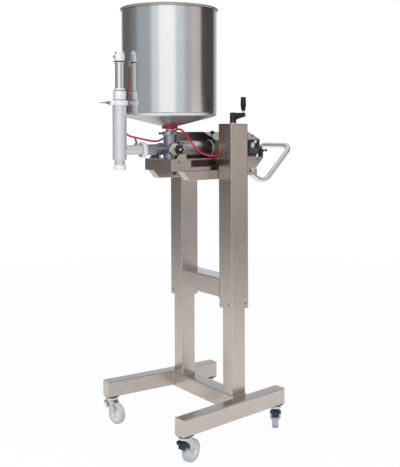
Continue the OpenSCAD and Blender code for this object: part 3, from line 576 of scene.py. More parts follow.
@kept_by_name
def plastic(name, colour, roughness, depth=0.00004, grain=1400, speckle=0.06):
    """Moulded plastic: a fine even grain, and a faint change of shade and gloss."""
    f = Finish(name, colour, roughness)
    pores = f.noise(grain, 2, 0.5)
    clouds = f.noise(25, 3, 0.5)
    f.set("Base Color", f.mix(clouds, tint(colour, 1 - speckle), tint(colour, 1 + speckle)))
    f.set("Roughness", roughness + (clouds - 0.5) * 0.12 + (pores - 0.5) * 0.06)
    f.bump(pores, depth)
    return f


@kept_by_name
def rubber(name, colour, roughness, dust=(0.5, 0.48, 0.46)):
    """Rubber: matt, with dust in its pores and a slightly shiny, worn skin."""
    f = Finish(name, colour, roughness, specular_ior_level=0.35)
    pores = f.cells(2200)
    clouds = f.noise(40, 4, 0.6)
    f.set("Base Color", f.mix(clouds.above(0.45, 0.35) * 0.3, colour, dust))
    f.set("Roughness", roughness + (clouds - 0.5) * 0.2)
    f.bump(pores, 0.00006)
    return f


@kept_by_name
def hose_rubber(name, colour):
    """Smooth polyurethane hose: glossy, with a fine even grain and shades along it."""
    f = Finish(name, colour, 0.3, coat_weight=0.4, coat_roughness=0.15)
    clouds = f.noise(60, 3, 0.5)
    f.set("Base Color", f.mix(clouds, tint(colour, 0.82), tint(colour, 1.1)))
    f.set("Roughness", 0.26 + clouds * 0.12)
    f.bump(f.noise(700, 2, 0.5), 0.00004)
    return f


# ---------------------------------------------------------------- sizes

def size(name, description, default, high=500.0):
    """A length property in millimetres."""
    return bpy.props.FloatProperty(name=name, description=description, default=default,
                                   min=0.0, max=high, unit="NONE", precision=1)


def colour(name, description, default):
    """A colour property."""
    return bpy.props.FloatVectorProperty(name=name, description=description, subtype="COLOR",
                                         size=3, min=0, max=1, default=default)


HOPPER_LOW, HOPPER_HIGH = node_range("hopper")


class DepositorSizes(bpy.types.PropertyGroup):
    """Sizes of details, in millimetres."""
    tube_corner: size("Tube corner", "Outer corner radius of the square tubes, in mm", 5)
    sheet_corner: size("Sheet corner", "Bend radius of the sheet metal, in mm", 4)
    weld_bead: size("Weld bead", "Half width of the weld beads, in mm", 2.4)
    hopper_radius: size("Hopper radius", "Radius of the hopper's wall, in mm",
                        (HOPPER_HIGH[0] - HOPPER_LOW[0]) / 2 - 7)
    hopper_top: size("Hopper top", "Height of the hopper's rim bead, in mm",
                     HOPPER_HIGH[2] - 5, high=3000)
    hose_diameter: size("Hose diameter", "Outside diameter of the air hose, in mm", 9)
    handle_diameter: size("Handle diameter", "Diameter of the push handle's tube, in mm", 25.4)
    tread_groove: size("Tread groove", "Depth of the lines round the tyres, in mm", 0.8)
    screw_head: size("Screw head", "Radius of the small screws' heads, in mm", 4.2)


class DepositorColours(bpy.types.PropertyGroup):
    """Colours of the finishes."""
    steel: colour("Frame steel", "Satin steel of the frame and bed", (0.62, 0.56, 0.51))
    bright: colour("Bright steel", "Polished steel of the hopper and tubes", (0.84, 0.84, 0.85))
    chrome: colour("Chrome", "Chrome of the handle and fittings", (0.86, 0.86, 0.88))
    cast: colour("Cast metal", "Blasted castings of the clamps and valve", (0.62, 0.64, 0.68))
    dark: colour("Dark metal", "Blackened steel", (0.07, 0.07, 0.075))
    bronze: colour("Bronze", "Bronze of the lift nut", (0.72, 0.42, 0.18))
    white: colour("White plastic", "Nozzle tip, hubs and pads", (0.82, 0.82, 0.80))
    black: colour("Black plastic", "Knobs, grip and switch", (0.018, 0.018, 0.02))
    gasket: colour("Gasket red", "Rubber of the hopper's gasket", (0.50, 0.012, 0.03))
    hose: colour("Hose red", "The air hose", (0.72, 0.012, 0.045))
    tyre: colour("Tyre grey", "Rubber of the casters' tyres", (0.54, 0.57, 0.62))
    panel: colour("Panel black", "Paint of the control panel and nameplate",
                  (0.012, 0.011, 0.012))
    border: colour("Border red", "Printed border of the panel and nameplate",
                   (0.30, 0.012, 0.03))
    floor: colour("Floor", "The pale floor", (0.82, 0.82, 0.82))


def sizes():
    """The sizes that the panel shows."""
    return bpy.context.scene.depositor_sizes


def colours():
    """The colours that the panel shows."""
    return bpy.context.scene.depositor_colours


# Scratches run along Z or X, round an upright axis, or every way
ALONG_Z, ALONG_X, ROUND_Z, ALL_WAYS = (1, 1, 0.03), (0.03, 1, 1), (0.05, 0.05, 1), (1, 1, 1)


def frame_steel(stretch=ALL_WAYS, name="frame_steel"):
    """Satin steel of the welded frame and the sheets."""
    return metal(name, colours().steel, 0.26, stretch, 0.16, 0.00001)


def bright_steel(stretch, name, roughness):
    """Polished steel of the turned parts."""
    return metal(name, colours().bright, roughness, stretch, 0.08, 0.000006, 700)


def chrome():
    return metal("chrome", colours().chrome, 0.1, ALL_WAYS, 0.05, 0.000004, 500)


def cast_metal():
    return metal("cast_metal", colours().cast, 0.36, ALL_WAYS, 0.1, 0.00004, 1600, 30)


def dark_metal():
    return metal("dark_metal", colours().dark, 0.42, ALL_WAYS, 0.15, 0.00003, 1200, 30)


def bronze():
    return metal("bronze", colours().bronze, 0.3, ALL_WAYS, 0.12, 0.00002, 900, 30)


def inner_steel():
    return metal("inner_steel", tint(colours().steel, 1.1), 0.4, ALONG_X, 0.16, 0.00001,
                 shine=0.75)


# Whitish steel: its pale colour and low metal share are partly a painted reflection of the white
# surroundings on bright fittings
def pale_steel(name="pale_steel", roughness=0.32):
    return metal(name, (0.93, 0.94, 0.96), roughness, ROUND_Z, 0.08, 0.000008, 700, 30, 0.4)


def white_plastic():
    return plastic("white_plastic", colours().white, 0.4)


def black_plastic():
    return plastic("black_plastic", colours().black, 0.42, 0.00008, 1100, 0.25)


def red_rubber():
    return rubber("red_rubber", colours().gasket, 0.5, (0.55, 0.1, 0.12))


def tyre_rubber():
    return rubber("tyre", colours().tyre, 0.6)


# ------------------------------------------------------- stage and camera

# The studio round the machine: direction in degrees from +X towards +Y, grey level, tint
STUDIO = (
    (-180, 0.42, "cool"), (-169, 0.44, "cool"), (-165, 0.74, "cool"), (-150, 0.80, "cool"),
    (-146, 1.06, "plain"), (-112, 1.06, "plain"), (-107, 0.74, "cool"), (-89, 0.66, "cool"),
    (-84, 0.46, "plain"), (-71, 0.46, "plain"), (-66, 0.55, "warm"), (-45, 0.50, "warm"),
    (-40, 0.075, "plum"), (8, 0.07, "plum"), (14, 0.42, "warm"), (36, 0.60, "plain"),
    (44, 1.0, "cool"), (66, 0.9, "cool"), (72, 0.60, "cool"), (82, 0.50, "cool"),
    (87, 0.14, "plain"), (122, 0.14, "plain"), (150, 0.25, "plain"), (156, 0.40, "cool"),
    (166, 0.42, "cool"),
)
TINTS = {"plain": (1, 0.98, 0.97), "cool": (0.90, 0.96, 1.0), "warm": (1, 0.91, 0.85),
         "plum": (1, 0.9, 0.92)}


# The camera: focal length, sensor and shift, place in metres, compass angle and tilt sideways
LENS, SENSOR, SHIFT = 60.884, 36, (-0.0711, -0.2255)
CAMERA_SPOT, YAW, ROLL = (-2.2073, -3.1359, 1.447), math.radians(37.81), math.radians(-0.22)
# The lamps: place, side in metres and power in watts. All look at a point 1 m up
LAMPS = {"key": ((-3.6, -1.2, 3.2), 2.2, 60), "front": ((-0.6, -4.2, 2.6), 2.4, 45),
         "top": ((0.2, 0.4, 4.4), 2.6, 60)}


class DEPOSITOR_OT_stage(bpy.types.Operator):
    """Sets up the camera, the pale floor, the lamps and the studio round the machine"""
    bl_idname = "depositor.stage"
    bl_label = "Stage and camera"

    def execute(self, context):
        scene = context.scene
        lens = bpy.data.cameras.new("Camera")
        lens.lens, lens.sensor_width = LENS, SENSOR
        lens.shift_x, lens.shift_y = SHIFT
        camera = bpy.data.objects.new("Camera", lens)
        back = (-math.sin(YAW), -math.cos(YAW), 0)
        right = (math.cos(YAW) * math.cos(ROLL), -math.sin(YAW) * math.cos(ROLL),
                 math.sin(ROLL))
        self.aim(camera, CAMERA_SPOT, right, back)
        scene.collection.objects.link(camera)
        scene.camera = camera
        scene.view_settings.view_transform = "Standard"
        self.floor(scene)
        self.studio(scene)
        self.lamps(scene)
        return {"FINISHED"}

    @staticmethod
    def aim(thing, spot, right, back):
        """Puts a camera or lamp at spot, its X axis along right and its Z axis along back."""
        thing.rotation_euler = Matrix(np.array([right, np.cross(back, right), back]).T.tolist()
                                      ).to_euler()
        thing.location = spot

    def floor(self, scene):
        """A wide flat grid, its colour darkened far from the machine as painted shade for what
        the metal reflects. What the camera sees of it is nearly white, with its shadow.
        """
        t = np.linspace(-12, 12, 9)
        x, y = np.meshgrid(t, t, indexing="ij")
        index = np.arange(81).reshape(9, 9)
        faces = np.stack([index[:-1, :-1], index[1:, :-1], index[1:, 1:], index[:-1, 1:]], -1)
        mesh = bpy.data.meshes.new("floor")
        mesh.from_pydata(np.stack([x, y, 0 * x], -1).reshape(-1, 3).tolist(), [],
                         faces.reshape(-1, 4).tolist())
        floor = bpy.data.objects.new("floor", mesh)
        scene.collection.objects.link(floor)
        f = Finish("floor", colours().floor, 0.9)
        shade = f.noise(3, 3)
        place = f.place()
        x, y = f.axis(place, 0), f.axis(place, 1)
        # painted shade: far from the machine the floor's colour falls towards black, so the metal
        # reflects a dim far floor
        far = ((x * x + y * y) ** 0.5).above(1.5, 5.0)
        f.set("Base Color", f.mix(far * 0.6 + shade * 0.02, colours().floor, (0, 0, 0)))
        camera, glossy, clear = f.rays("Camera", "Glossy", "Transmission")
        share = f.math("MAXIMUM", f.math("MAXIMUM", camera, clear) * (0.95 + far * 0.05),
                       glossy * (1 - far * 0.7) * 0.34)
        glow = f.node("ShaderNodeEmission", {}, {"Color": (1, 1, 1, 1), "Strength": 1.0})
        seen = f.node("ShaderNodeMixShader", {}, {0: share, 1: Level(f, f.shader.outputs[0]),
                                                  2: glow})
        f.feed(f.tree.nodes["Material Output"].inputs[0], seen)
        mesh.materials.append(f.material)

    def studio(self, scene):
        """The world: bands of pale and dark walls by compass direction, a soft pale
        ceiling above them, and plain white for what the camera sees behind the machine."""
        world = bpy.data.worlds.new("Studio")
        world.use_nodes = True
        scene.world = world
        w = Nodes(world.node_tree)
        ahead = w.node("ShaderNodeTexCoord", out=0)
        x, y, z = (w.axis(ahead, i) for i in range(3))
        turn = w.node("ShaderNodeMath", {"operation": "ARCTAN2"}, {0: y, 1: x})
        ramp = w.tree.nodes.new("ShaderNodeValToRGB")
        stops = ramp.color_ramp.elements
        while len(stops) < len(STUDIO):
            stops.new(1.0)
        for stop, (degrees, level, shade) in zip(stops, STUDIO):
            stop.position = (degrees + 180) / 360
            stop.color = (*[min(1.6, level * c) for c in TINTS[shade]], 1)
        w.feed(ramp.inputs[0], turn / (2 * math.pi) + 0.5)
        walls = Level(w, ramp.outputs[0])
        card = (x * 0.613 - y * 0.79).above(0.92, 0.07) * (0.8 - z.above(-0.03, 0.06) * 0.8)
        ceiling = w.mix(z.above(0.45, 0.3), (0.42, 0.45, 0.50), (0.72, 0.72, 0.73))
        room = w.mix(card, w.mix(z.above(0.25, 0.08), walls, ceiling), (1.0, 0.95, 0.92))
        seen = w.mix(w.math("MAXIMUM", *w.rays("Camera", "Transmission")), room, (1, 1, 1))
        w.feed(w.tree.nodes["Background"].inputs["Color"], seen)
        w.tree.nodes["Background"].inputs["Strength"].default_value = 1.0

    def lamps(self, scene):
        """Three large soft lamps: from the left, from the near side, and above."""
        for name, (spot, side, power) in LAMPS.items():
            lamp = bpy.data.lights.new(name, "AREA")
            lamp.shape, lamp.size, lamp.energy = "SQUARE", side, power
            holder = bpy.data.objects.new(name, lamp)
            back = unit(np.array(spot) - (0, 0, 1))
            self.aim(holder, spot, unit(np.cross((0, 0, 1), back)), back)
            holder.visible_glossy = False
            scene.collection.objects.link(holder)


# -------------------------------------------------------------- air hose

# The hose's route from the nozzle's cap to the drive housing, in millimetres
HOSE_ROUTE = (
    (-478, 36, 1730), (-478, 36, 1712), (-474, 36, 1680), (-464, 34, 1640), (-455, 31, 1595),
    (-452, 28, 1540), (-453, 29, 1475), (-443, 35, 1436), (-417, 41, 1414), (-371, 42, 1403),
    (-333, 42, 1395), (-290, 44, 1388), (-254, 50, 1388), (-218, 58, 1400), (-186, 50, 1422),
    (-167, 25, 1440), (-161, -8, 1441), (-157, -38, 1419), (-142, -62, 1384),
    (-112, -84, 1340), (-70, -108, 1317), (-22, -122, 1320), (12, -121, 1333),
    (32, -120.4, 1341), (40, -120.4, 1342),
)


class DEPOSITOR_OT_air_hose(bpy.types.Operator):
    """Lays the red air hose: a smooth curve through its route, from the nozzle's cap behind
    the hopper's neck to the drive housing"""
    bl_idname = "depositor.air_hose"
    bl_label = "Air hose"

    def execute(self, context):
        line = (smooth_line(HOSE_ROUTE, 6) + (POST_X, 0, 0)) * MM
        curve = bpy.data.curves.new("hose", "CURVE")
        curve.dimensions = "3D"
        spline = curve.splines.new("POLY")
        spline.points.add(len(line) - 1)
        spline.points.foreach_set("co", np.c_[line, np.ones(len(line))].ravel())
        diameter = sizes().hose_diameter * MM
        curve.bevel_depth, curve.bevel_resolution = diameter / 2, 6
        curve.materials.append(hose_rubber("red_hose", colours().hose))
        hose = bpy.data.objects.new("hose", curve)
        context.scene.collection.objects.link(hose)
        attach(hose, "carriage")
        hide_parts("air_hose")
        return {"FINISHED"}


# ------------------------------------------------------------ lift frame

# Each post's distance from the middle, the tubes' widths, and the legs' heights and reaches
POST_Y = 205
SLEEVE, POST = 100, 76
LEG_LOW, LEG_HIGH = 129, 205
LEG_WIDE, LEG_AHEAD, LEG_BEHIND, LEG_INNER = 62, -394, 228, 258
SPLAY = math.radians(5.1)
NEAR, FAR = -1, 1
SIDES = ((NEAR, "near"), (FAR, "far"))
OUTWARDS, INWARDS = {NEAR: "-y", FAR: "+y"}, {NEAR: "+y", FAR: "-y"}


def leg_axes(side):
    """Origin and axes of a leg: along the leg to the rear, outwards, and up."""
    return ((0, side * LEG_INNER, 0), (math.cos(SPLAY), -side * math.sin(SPLAY), 0),
            (math.sin(SPLAY), side * math.cos(SPLAY), 0), (0, 0, 1))


class DEPOSITOR_OT_legs(bpy.types.Operator):
    """Makes the two splayed legs and the crossbar: rounded rectangles carried along each
    tube, end plates with rounded edges, and weld beads along the seams"""
    bl_idname = "depositor.legs"
    bl_label = "Legs and crossbar"

    def execute(self, context):
        corner, bead = sizes().tube_corner, sizes().weld_bead
        steel = [frame_steel(ALONG_X, "leg_steel"), frame_steel()]
        for side, name in SIDES:
            leg = Piece(f"{name}_leg_tube", leg_axes(side))
            outline = rectangle(LEG_WIDE, LEG_HIGH - LEG_LOW, corner, 6,
                                (LEG_WIDE / 2, (LEG_LOW + LEG_HIGH) / 2))
            leg.add(plate(outline, LEG_AHEAD, LEG_BEHIND, 1.6)[..., [2, 0, 1]])
            flat = inset(outline, 0.6)
            flat = np.r_[flat, flat[:1]]
            for end in (LEG_AHEAD + 4.0, LEG_BEHIND - 4.0):
                seam = np.c_[np.full(len(flat), end), flat]
                leg.add(carried(seam, circle(0.7, 8), (1, 0, 0)), 1)
            leg.build(steel, "base", [f"{name}_leg"])
        self.crossbar(corner, bead, steel)
        return {"FINISHED"}

    def crossbar(self, corner, bead, steel):
        """The bar between the legs: its ends follow the legs' splay, y = inner face at x."""
        bar = Piece("crossbar_tube")
        outline = rectangle(POST, LEG_HIGH - LEG_LOW, corner, 6, (0, (LEG_LOW + LEG_HIGH) / 2))
        reach = LEG_INNER - outline[:, 0] * math.tan(SPLAY)
        bar.add([np.c_[outline[:, 0], share * reach, outline[:, 1]]
                 for share in (-1, -0.99, 0.99, 1)])
        for side in (NEAR, FAR):
            for x in (-POST / 2, POST / 2):
                y = side * (LEG_INNER - x * math.tan(SPLAY) - 0.8)
                weld(bar, [(x, y, LEG_LOW + 4), (x, y, LEG_HIGH - 4)], (1, 0, 0), bead, 1)
            y, slant = side * (LEG_INNER - 0.8), side * POST / 2 * math.tan(SPLAY)
            for z in (LEG_LOW, LEG_HIGH):
                weld(bar, [(4 - POST / 2, y + slant, z), (POST / 2 - 4, y - slant, z)],
                     (0, 0, 1), bead * 0.8, 1)
        bar.build(steel, "base", ["crossbar"])


class DEPOSITOR_OT_posts(bpy.types.Operator):
    """Makes the two posts and the two sleeves that run on them: rounded square outlines,
    outer and inner, joined over both rims, with beads, screws and the brace between"""
    bl_idname = "depositor.posts"
    bl_label = "Posts, sleeves and brace"

    def execute(self, context):
        corner, bead = sizes().tube_corner, sizes().weld_bead
        upright = [frame_steel(ALONG_Z, "upright_steel"), frame_steel(), dark_metal()]
        for side, name in SIDES:
            low, high = (end[2] for end in node_range(f"{name}_sleeve"))
            post = Piece(f"{name}_post_tube")
            square_tube(post, (0, side * POST_Y), POST, corner, 3, LEG_HIGH,
                        node_range(f"{name}_post")[1][2])
            outline = rectangle(POST, POST, corner, 5, (0, side * POST_Y))
            seam = np.r_[outline, outline[:1]]
            weld(post, np.c_[seam, np.full(len(seam), LEG_HIGH + 1.2)], (0, 0, 1), bead, 1,
                 closed=True)
            post.build(upright, "base", [f"{name}_post"])
            sleeve = Piece(f"{name}_sleeve_tube")
            square_tube(sleeve, (0, side * POST_Y), SLEEVE, corner + 1, 3, low, high)
            self.screws(sleeve, side)
            sleeve.build(upright, "carriage", [f"{name}_sleeve"])
        self.brace(corner, bead, upright)
        return {"FINISHED"}

    def screws(self, sleeve, side):
        """The screws that press the guide pads, sunk in the sleeve's lower end."""
        out, z, shape = SLEEVE / 2 - 0.4, 629, (sizes().screw_head, 1.6, 2)
        for way, sign in ((-1, "-"), (1, "+")):
            socket_screw(sleeve, (31, side * POST_Y + way * out, z), sign + "y", *shape)
            socket_screw(sleeve, (way * out, side * (POST_Y + 28), z), sign + "x", *shape)

    def brace(self, corner, bead, steel):
        """The tube that joins the sleeves, with a bead round each end."""
        low, high = node_range("brace")
        brace = Piece("brace_tube")
        outline = rectangle(SLEEVE, high[2] - low[2], corner, 6, (0, (low[2] + high[2]) / 2))
        reach = POST_Y - SLEEVE / 2
        brace.add(upright_plate(outline, -reach, reach))
        seam = np.r_[outline, outline[:1]]
        for side in (NEAR, FAR):
            line = np.c_[seam[:, 0], np.full(len(seam), side * (reach - 0.5)), seam[:, 1]]
            weld(brace, line, (0, 1, 0), bead, 1, closed=True)
        brace.build(steel, "carriage", ["brace"])


# --------------------------------------------------------------- casters

# Each caster's place, the way its wheel trails, its leg and its place along the leg
CASTERS = {
    "nf": ((-357.81, -321.06), (0.956, 0.292), NEAR, -362),
    "ff": ((-357.81, 321.06), (0.174, -0.985), FAR, -362),
    "nr": ((197.98, -271.45), (0.643, 0.766), NEAR, 196),
    "fr": ((197.98, 271.45), (0.5, 0.866), FAR, 196),
}
TRAIL, AXLE_Z, WHEEL_R = 40, 50, 50
# X and Z of the pin on which a pedal tips
PEDAL_PIN = (-11, 100)


class DEPOSITOR_OT_casters(bpy.types.Operator):
    """Makes the four casters: turned wheels with grooved tyres, pressed forks on a ball
    race, top plates with bolts, and brake pedals with two lobes"""
    bl_idname = "depositor.casters"
    bl_label = "Casters"

    def execute(self, context):
        plates = Piece("caster_top_plates")
        for key, (spot, trail, side, along) in CASTERS.items():
            trail = unit(trail)
            axes = ((*spot, 0), (*trail, 0), (-trail[1], trail[0], 0), (0, 0, 1))
            self.fork(key, axes)
            self.wheel(key, axes)
            self.pedal(key, axes)
            self.top_plate(plates, side, along)
        # The top plates are dark grey: painted shade for the shadow gap under each leg, not the
        # zinc's own colour
        plates.build([metal("plate_zinc", (0.20, 0.20, 0.22), 0.34, ALL_WAYS), chrome()],
                     "base", ["caster_plates"], "bright_steel")
        return {"FINISHED"}

    def top_plate(self, piece, side, along):
        """The plate under the leg, its four bolts and the ball race's upper half."""
        axes = leg_axes(side)
        outline = rectangle(60, 60, 7, 5, (along, LEG_WIDE / 2))
        piece.add(stood(plate(outline, 125, LEG_LOW, 0.8), *axes))
        middle = stood([(along, LEG_WIDE / 2, 0)], *axes)[0]
        lathe(piece, [(0, 121.7), (24, 121.7), (27, 123), (27, 125.2), (0, 125.2)], middle,
              "+z", 0, 0.6, 48)
        lathe(piece, [(0, 102), (8, 102), (10, 103), (10, 107.5), (6, 107.6), (6, 122),
                      (0, 122)], middle, "+z", 1, 0.4, 32)
        for x in (along - 23, along + 23):
            for y in (LEG_WIDE / 2 - 23, LEG_WIDE / 2 + 23):
                hexagon(piece, stood([(x, y, 125.2)], *axes)[0], "-z", 8, 3.2, 1)

    def fork(self, key, axes):
        """A pressed fork: a turned head, a yoke plate and two blades with rounded outlines."""
        fork = Piece(f"caster_fork_{key}_pressed", axes)
        head = [(6.05, 112), (12, 110.9), (27, 111), (29, 113), (29, 116.5), (27.5, 117.2),
                (27.5, 118.2), (29, 119), (28.6, 121.4), (24, 121.7), (6.05, 121.7)]
        fork.add(turned(bent_line(head, 0.7, steps=3), 56), 1, loop=True)
        fork.add(plate(rectangle(43, 42, 5, 4, (2.5, 0)), 108, 111.2, 0.8))
        foot = polar(13, np.radians(np.linspace(-170, 20, 12)))[:, :2] + (TRAIL, AXLE_Z)
        blade = bent_line([(-19, 111), (-19, 96), (-10, 87), (27, 56), *foot, (50, 64),
                           (28, 104), (24, 111)], 5, steps=4)
        for low in (18, -21):
            fork.add(upright_plate(blade, low, low + 3, 0.9))
        for side, way in OUTWARDS.items():
            hexagon(fork, (TRAIL, side * 21, AXLE_Z), way, 17, 5.2, 1)
            lathe(fork, [(0, 0), (5, 0), (5, 5.6), (3.4, 6), (0, 6)],
                  (TRAIL, side * 21, AXLE_Z), way, 1, 0.3, 24)
            lathe(fork, [(0, 0), (11, 0), (11, 1.2), (8, 1.8), (0, 1.8)],
                  (TRAIL, side * 20.9, AXLE_Z), way, 1, 0.3, 40)
            lathe(fork, [(0, 0), (2.5, 0), (4, 0.3), (3.4, 1.8), (0, 2)],
                  (PEDAL_PIN[0], side * 20.9, PEDAL_PIN[1]), way, 1, 0.2, 20)
        for radius, count, (x, z) in ((4.9, 24, (TRAIL, AXLE_Z)), (2.5, 16, PEDAL_PIN)):
            fork.add(upright_plate(circle(radius, count), -21, 21) + (x, 0, z), 1)
        fork.build([metal("fork_zinc", (0.70, 0.63, 0.58), 0.22, ALL_WAYS, 0.1), chrome()],
                   f"caster_{key}", [f"caster_fork_{key}"], "bright_steel")

    def wheel(self, key, axes):
        """Tyre and hub, turned round the axle: the tyre's shoulders are round, fine lines
        run round its tread, and the hub's web is recessed between rim and boss."""
        wheel = Piece(f"caster_wheel_{key}_tyred", axes)
        groove = sizes().tread_groove
        tread = []
        for y in (-6, -2, 2, 6):
            tread += [(WHEEL_R, y - 1.0), (WHEEL_R - groove, y - 0.4),
                      (WHEEL_R - groove, y + 0.4), (WHEEL_R, y + 1.0)]
        tyre = [(37.2, -15), (45, -15), (48.6, -12.5), (WHEEL_R, -8)] + tread \
            + [(WHEEL_R, 8), (48.6, 12.5), (45, 15), (37.2, 15), (36, 13), (36, -13)]
        radii = [0.6, 3, 3, 2] + [0.2] * len(tread) + [2, 3, 3, 0.6, 0.3, 0.3]
        hub = [(5.05, -17.4), (11.5, -17.4), (13, -15), (13.6, -7), (17, -5.2), (30, -5.2),
               (33.4, -7), (34.6, -13.2), (36.6, -14.2), (36.6, 14.2), (34.6, 13.2), (33.4, 7),
               (30, 5.2), (17, 5.2), (13.6, 7), (13, 15), (11.5, 17.4), (5.05, 17.4)]
        covers = [np.array([(5.1, 17.2), (9.6, 17.2), (10, 17.7), (8, 17.9), (5.1, 17.9)])
                  * (1, way) for way in (-1, 1)]
        for profile, rounding, steps, count, coat in (
                (tyre, radii, 3, 96, 0), (hub, 0.9, 3, 72, 1), (covers[0], 0.15, 2, 40, 2),
                (covers[1], 0.15, 2, 40, 2)):
            rings = turned(bent_line(profile, rounding, steps=steps), count)[..., [0, 2, 1]]
            wheel.add(rings + (TRAIL, 0, AXLE_Z), coat, loop=True)
        wheel.build([tyre_rubber(), white_plastic(), cast_metal()], f"wheel_{key}",
                    [f"caster_wheel_{key}"], "tyre")

    def pedal(self, key, axes):
        """The brake pedal: a rocker with ribs on its tread, two round lobes, cheeks beside
        the fork and a tongue down before the wheel."""
        pedal = Piece(f"caster_pedal_{key}_lobed", axes)
        body = bent_line([(-5, 93), (-5, 102), (-14, 105), (-26, 105), (-26, 91.5), (-14, 89)],
                         2.4, steps=4)
        lobe = [(0, -29), (8, -29), (10, -27.4), (10, -25.4), (8, -24.2), (0, -24.2)]
        lobe = turned(bent_line(lobe, 1.0, closed=False, steps=3), 36)[..., [2, 0, 1]]
        cheek = bent_line([(-27, 92), (-25, 103), (-8, 104), (2, 88), (4, 76), (-3, 72),
                           (-16, 84)], [4, 4, 5, 6, 4, 4, 8], steps=4)
        tongue = bent_line([(-28, 101), (-19, 101), (-16, 76), (-20, 68), (-27, 73)], 2, steps=4)
        for rings in (
                upright_plate(body, -16.6, 16.6, 1.2), lobe + (0, -16.6, 98),
                lobe + (0, 16.6, 98), upright_plate(cheek, -25.8, -23.4, 0.8),
                upright_plate(cheek, 23.4, 25.8, 0.8),
                *[plate(rectangle(1.4, 22, 0.6, 3, (x, 0)), 104.6, 105.6, 0.4)
                  for x in (-22, -19, -16)],
                upright_plate(tongue, -16.2, 16.2, 1.2)):
            pedal.add(rings)
        # Painted shade: three pedals are near black for the shade inside the fork, and the far
        # front one keeps the cast metal
        skin = cast_metal() if key == "ff" else metal(
            "pedal_black", (0.05, 0.065, 0.09), 0.34, ALL_WAYS)
        pedal.build([skin], f"pedal_{key}", [f"caster_pedal_{key}"], "dark_metal")


# ------------------------------------------------------------- machine bed

ARM_LOW, ARM_HIGH, ARM_Y, ARM_WIDE = 1207, 1250, 130, 50
BED_TOP, BED_LOW = 1305, 1250
BED_HALF, BED_FRONT, BED_REAR = 117, -287, 262
VALVE_X, AXIS_Z = -220, 1349
VALVE, CYLINDER_END, SPOUT_END = (VALVE_X, 0, AXIS_Z), (-181, 0, AXIS_Z), (-371, 0, AXIS_Z)


def sheet_cover(piece, outline, open_x, closed_x, corner, way):
    """A bent sheet open at its bottom: an open outline in Y and Z carried along X from an
    open end to a closed one, which lies behind it where way is 1 and ahead where it is -1.
    The closed end's edge turns a quarter circle, inset = r (1 - cos t), and its face then
    shrinks in steps to the middle of the bottom edge. X at either end is a function of
    height, so that an end may lean."""
    middle = np.array([0.5 * (outline[0, 0] + outline[-1, 0]), outline[0, 1]])
    ahead = unit(np.gradient(outline, axis=0))
    inward = np.stack([ahead[:, 1], -ahead[:, 0]], -1)
    inward[[0, -1], 1] = 0

    def ring(x_of, along, shift, shrink=1.0):
        flat = middle + (outline + inward * shift - middle) * shrink
        return np.c_[x_of(flat[:, 1]) + along, flat]

    rings = [ring(open_x, 0, 0)]
    rings += [ring(closed_x, -way * corner * (1 - math.sin(a)), corner * (1 - math.cos(a)))
              for a in np.linspace(0, math.pi / 2, 4)]
    rings += [ring(closed_x, 0, corner, share) for share in (0.93, 0.8, 0.6, 0.4, 0.2, 0.0)]
    piece.add(np.array(rings)[::way], open_ring=True)


def bed_rear(z):
    """X of the bed's rear edge: it leans forward by 50 mm from top to bottom."""
    return BED_REAR - 50 * (BED_TOP - z) / (BED_TOP - BED_LOW)


